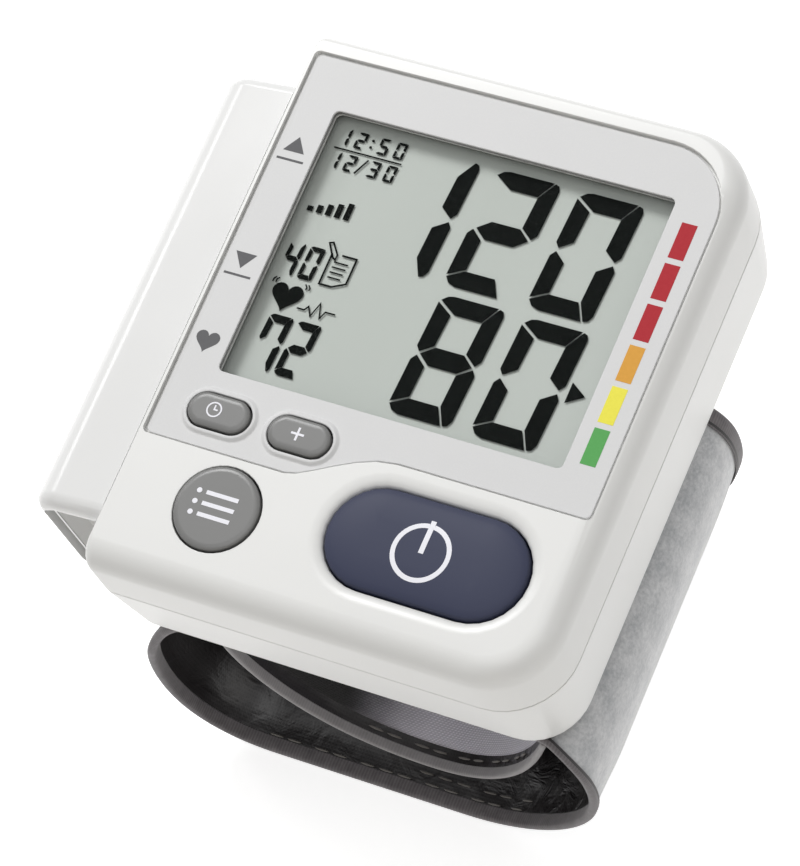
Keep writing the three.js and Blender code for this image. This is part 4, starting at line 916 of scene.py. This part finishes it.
def stitch_row(name, stations, across, proud, first, last, finish):
    """A row of lockstitches that lie half sunk in the cloth along the path."""
    mesh = bmesh.new()
    pitch = 3.4 * mm
    stitch = 2.3 * mm
    thread = 0.34 * mm
    following = first
    for (place, outward, run), (ahead, _, _) in zip(stations, stations[1:]):
        if run < following or run > last:
            continue
        following += pitch
        along = (ahead - place).normalized()
        turn = Matrix((along, (0.0, 1.0, 0.0), outward)).transposed().to_4x4()
        seat = Matrix.Translation(place + outward * proud + Vector((0.0, across, 0.0)))
        size = Matrix.Diagonal((stitch / 2, thread / 2, thread / 2, 1.0))
        bmesh.ops.create_uvsphere(mesh, u_segments=8, v_segments=5, radius=1.0, matrix=seat @ turn @ size)
    bmesh.ops.recalc_face_normals(mesh, faces=mesh.faces)
    finished_piece(name, mesh, finish, "base", smooth_under=80)


(left, near, floor), (right, far, roof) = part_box("cuff_strap")
roof_left, roof_right = left + 12.8 * mm, right - 5.8 * mm
left_middle, right_middle = roof - 24.6 * mm, floor + 31.8 * mm
strap_curve = [Vector((roof_right, 0.0, roof)), Vector((roof_left, 0.0, roof))]
strap_curve += side_curve((roof_left, roof), (left + 4.3 * mm, roof),
                          (left, roof - 13.5 * mm), (left, left_middle))
strap_curve += side_curve((left, left_middle), (left, roof - 33.75 * mm),
                          (left + 4.2 * mm, floor), (left + 12.6 * mm, floor))
strap_curve += side_curve((right - 26.3 * mm, floor), (right - 13.15 * mm, floor),
                          (right, floor + 15.9 * mm), (right, right_middle))
strap_curve += side_curve((right, right_middle), (right, floor + 36.9 * mm),
                          (right - 2.9 * mm, roof), (roof_right, roof))
strap_stations, strap_length = even_path(strap_curve, looped=True)

strap_thickness = 3.2 * mm
tape_film = 0.3 * mm
strap_tape_inside = 2.2 * mm
strap_edge = 1.3 * mm
ply_face = -0.1 * mm
pile_back = -0.75 * mm
strap_draw = {"edge": near, "reach": 20 * mm, "setback": 2.2 * mm,
              "start": Vector((roof_right, 0.0, roof)), "end": Vector((right, 0.0, roof - 9 * mm))}
# The pile's colour carries a painted shade of the housing above 32 mm, fading out by 22 mm.
light_pile = loop_pile("brushed_loop_pile", "f4f5f7", "b9bdc2", painted_shade_top=32 * mm, painted_shade_bottom=22 * mm)
black_nylon = coated_nylon("coated_black_nylon", "151314", "211e1f")
# The dark tape carries a painted seam shadow along a 0.5 mm hem at its outer edge.
dark_tape = edge_tape("woven_dark_tape", "807b7d", "363335", hem=0.5 * mm)
pale_thread = edge_tape("spun_pale_thread", "7b7773", "595653")

pile_section = pillow(near, far, ply_face, pile_back, seam=2.0 * mm, swell=0.3 * mm)
pile_mesh = wrapped(strap_stations, pile_section, True, strap_length)
crumple(pile_mesh, wave=11 * mm, height=0.16 * mm, seed=3.1)
draw_back(pile_mesh, **strap_draw)
cloth_piece("cuff_strap_pile", pile_mesh, light_pile, "cuff_strap")
lining_ply = pillow(near, far, ply_face, back=-2.45 * mm, seam=4.0 * mm, swell=1.9 * mm)
lining_section = [(across, -strap_thickness - proud) for across, proud in lining_ply]
lining_mesh = wrapped(strap_stations, lining_section, True, strap_length)
crumple(lining_mesh, wave=8 * mm, height=0.3 * mm, seed=5.7)
crumple(lining_mesh, wave=3.4 * mm, height=0.9 * mm, seed=9.1, beyond=right - 22 * mm)
draw_back(lining_mesh, **strap_draw)
cloth_piece("cuff_strap_lining", lining_mesh, black_nylon, "cuff_strap")
stitches_sunk = 0.15 * mm
rows_start, rows_stagger, rows_rest = 100 * mm, 22 * mm, 46 * mm
for side, edge, way, tape_outside in (("near", near, 1, 1.2 * mm), ("far", far, -1, 2.7 * mm)):
    tape_section = taped_edge(edge, way, tape_outside, strap_tape_inside, strap_edge, tape_film)
    tape_mesh = wrapped(strap_stations, tape_section, True, strap_length)
    draw_back(tape_mesh, **strap_draw)
    cloth_piece(f"cuff_strap_tape_{side}", tape_mesh, dark_tape, "cuff_strap")
    for row, inset in enumerate((2.2 * mm, 3.6 * mm)):
        stitch_row(f"strap_stitches_{side}_{row + 1}", strap_stations, edge + way * inset,
                   -strap_edge - stitches_sunk, rows_start + rows_stagger * row,
                   strap_length - rows_rest, pale_thread)


# Cuff sleeve: the soft inner flap that lies on the skin and holds the air bladder. A ply of brushed
# grey nylon and one of black nylon under a woven twill patch, on the wrist side, are bound at both
# edges in a softer grey tape.
(left, near, floor), (right, far, roof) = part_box("cuff_sleeve")
lowest = left + 23.55 * mm
sleeve_curve = side_curve((left, roof), (left, roof - 9.0 * mm), (left + 4.7 * mm, floor), (lowest, floor))
sleeve_curve += side_curve((lowest, floor), (left + 36.5 * mm, floor),
                           (right - 3.5 * mm, roof - 9.0 * mm), (right, roof))
sleeve_stations, sleeve_length = even_path(sleeve_curve, looped=False)
sleeve_thickness = 2.6 * mm
sleeve_tape_outside = 1.0 * mm
sleeve_tape_inside = 1.6 * mm
sleeve_edge = 0.9 * mm
sleeve_seam = 3.0 * mm
grey_tape = edge_tape("woven_grey_tape", "9c999a", "797677")


def twill_patch(name, shade, dark, painted_shadow_shade, start):
    """Woven twill: diagonal ribs of grey-lilac yarn, each rib a row of short floats. A painted shadow
    makes it near black, without sheen, where the patch starts, and fades out over a few millimetres."""
    twill_slant = math.radians(38.0)
    ragged_edge = 3 * mm
    fade = 15 * mm
    material, tree, shader, cloth = new_finish(name, "UV")
    turned = add_node(tree, "Mapping", {"Rotation": (0.0, 0.0, twill_slant)}, {"Vector": cloth})
    ribs = add_node(tree, "TexWave", {"Scale": per_band(0.45), "bands_direction": "X"},
                    {"Vector": turned})
    floats = add_node(tree, "TexWave", {"Scale": per_band(0.3), "bands_direction": "Y"},
                      {"Vector": cloth})
    level = add_node(tree, "Math", {"operation": "MULTIPLY"},
                     {0: ribs.outputs["Fac"], 1: floats.outputs["Fac"]})
    woven = add_node(tree, "Mix", {"data_type": "RGBA", 6: linear(dark), 7: linear(shade)}, {0: level})
    run = add_node(tree, "SeparateXYZ", links={"Vector": cloth})
    blotch = add_node(tree, "TexNoise", {"Scale": per(4.0), "Detail": 4.0}, {"Vector": cloth})
    uneven = add_node(tree, "Math", {"operation": "MULTIPLY_ADD", 1: ragged_edge},
                      {0: blotch, 2: run.outputs["X"]})
    # Painted shadow: near black from the start of the patch, fading to the woven colour; the sheen fades
    # with it.
    out_of_painted_shadow = add_node(tree, "MapRange",
                    {"interpolation_type": "SMOOTHSTEP", "From Min": start, "From Max": start + fade},
                    {"Value": uneven})
    tint = add_node(tree, "Mix", {"data_type": "RGBA", 6: linear(painted_shadow_shade)}, {0: out_of_painted_shadow, 7: woven})
    bump = add_node(tree, "Bump", {"Strength": 0.7, "Distance": 0.08 * mm}, {"Height": level})
    sheen = add_node(tree, "Math", {"operation": "MULTIPLY", 1: 0.3}, {0: out_of_painted_shadow})
    set_up(tree, shader, {"Roughness": 0.8}, {"Base Color": tint, "Normal": bump, "Sheen Weight": sheen})
    return material


back_section = pillow(near, far, ply_face, back=-0.7 * mm, seam=sleeve_seam, swell=0.25 * mm)
back_mesh = wrapped(sleeve_stations, back_section, False, sleeve_length)
crumple(back_mesh, wave=9 * mm, height=0.25 * mm, seed=8.3)
# Painted shade: this pile darkens upward from 16 mm to 33 mm.
grey_pile = loop_pile("brushed_grey_nylon", "86838a", "625f63", painted_shade_top=33 * mm, painted_shade_bottom=16 * mm)
cloth_piece("cuff_sleeve_back", back_mesh, grey_pile, "cuff_sleeve")
skin_ply = pillow(near, far, ply_face, back=-1.9 * mm, seam=sleeve_seam, swell=1.7 * mm)
skin_section = [(across, -sleeve_thickness - proud) for across, proud in skin_ply]
skin_mesh = wrapped(sleeve_stations, skin_section, False, sleeve_length)
crumple(skin_mesh, wave=9 * mm, height=0.25 * mm, seed=2.9)
cloth_piece("cuff_sleeve_lining", skin_mesh, black_nylon, "cuff_sleeve")
row_inset, row_start, row_rest = 2.2 * mm, 30 * mm, 14 * mm
row_sunk = 0.12 * mm
for side, edge, way in (("near", near, 1), ("far", far, -1)):
    tape_section = taped_edge(edge, way, sleeve_tape_outside, sleeve_tape_inside, sleeve_edge, tape_film)
    tape_mesh = wrapped(sleeve_stations, tape_section, False, sleeve_length)
    cloth_piece(f"cuff_sleeve_tape_{side}", tape_mesh, grey_tape, "cuff_sleeve")
    stitch_row(f"sleeve_stitches_{side}", sleeve_stations, edge + way * row_inset,
               -sleeve_edge - row_sunk, row_start, sleeve_length - row_rest, pale_thread)

# Where the painted shadow on the twill patch starts to fade out.
painted_shadow_fade_from = 0.33 * sleeve_length
patch_inset = 3 * mm
patch_proud = 0.3 * mm
patch_thickness = 0.45 * mm
patch_stations = [s for s in sleeve_stations if patch_inset < s[2] < sleeve_length - patch_inset]
between_seams = skin_section[2:-8]
patch_side = [(across, proud - patch_proud) for across, proud in between_seams]
patch_section = patch_side + [(across, proud + patch_thickness) for across, proud in patch_side[::-1]]
patch_mesh = wrapped(patch_stations, patch_section, False, sleeve_length)
crumple(patch_mesh, wave=9 * mm, height=0.2 * mm, seed=2.9)
patch_width = sum(math.dist(one, other) for one, other in zip(patch_side, patch_side[1:]))
patch_length = sum(face.calc_area() for face in patch_mesh.faces) / 2 / patch_width
grey_twill = twill_patch("woven_twill_patch", "f2eef8", "bdbac5", "100f0f", painted_shadow_fade_from)
patch_piece = cloth_piece("cuff_sleeve_patch", patch_mesh, grey_twill, "cuff_sleeve")


# Clamp plate: a white moulded plate under the housing. Its four pegs go through the strap into the
# lower shell and hold the cuff and the ends of the sleeve to the monitor.
moulded_copy("cuff_clamp_plate", white_abs)
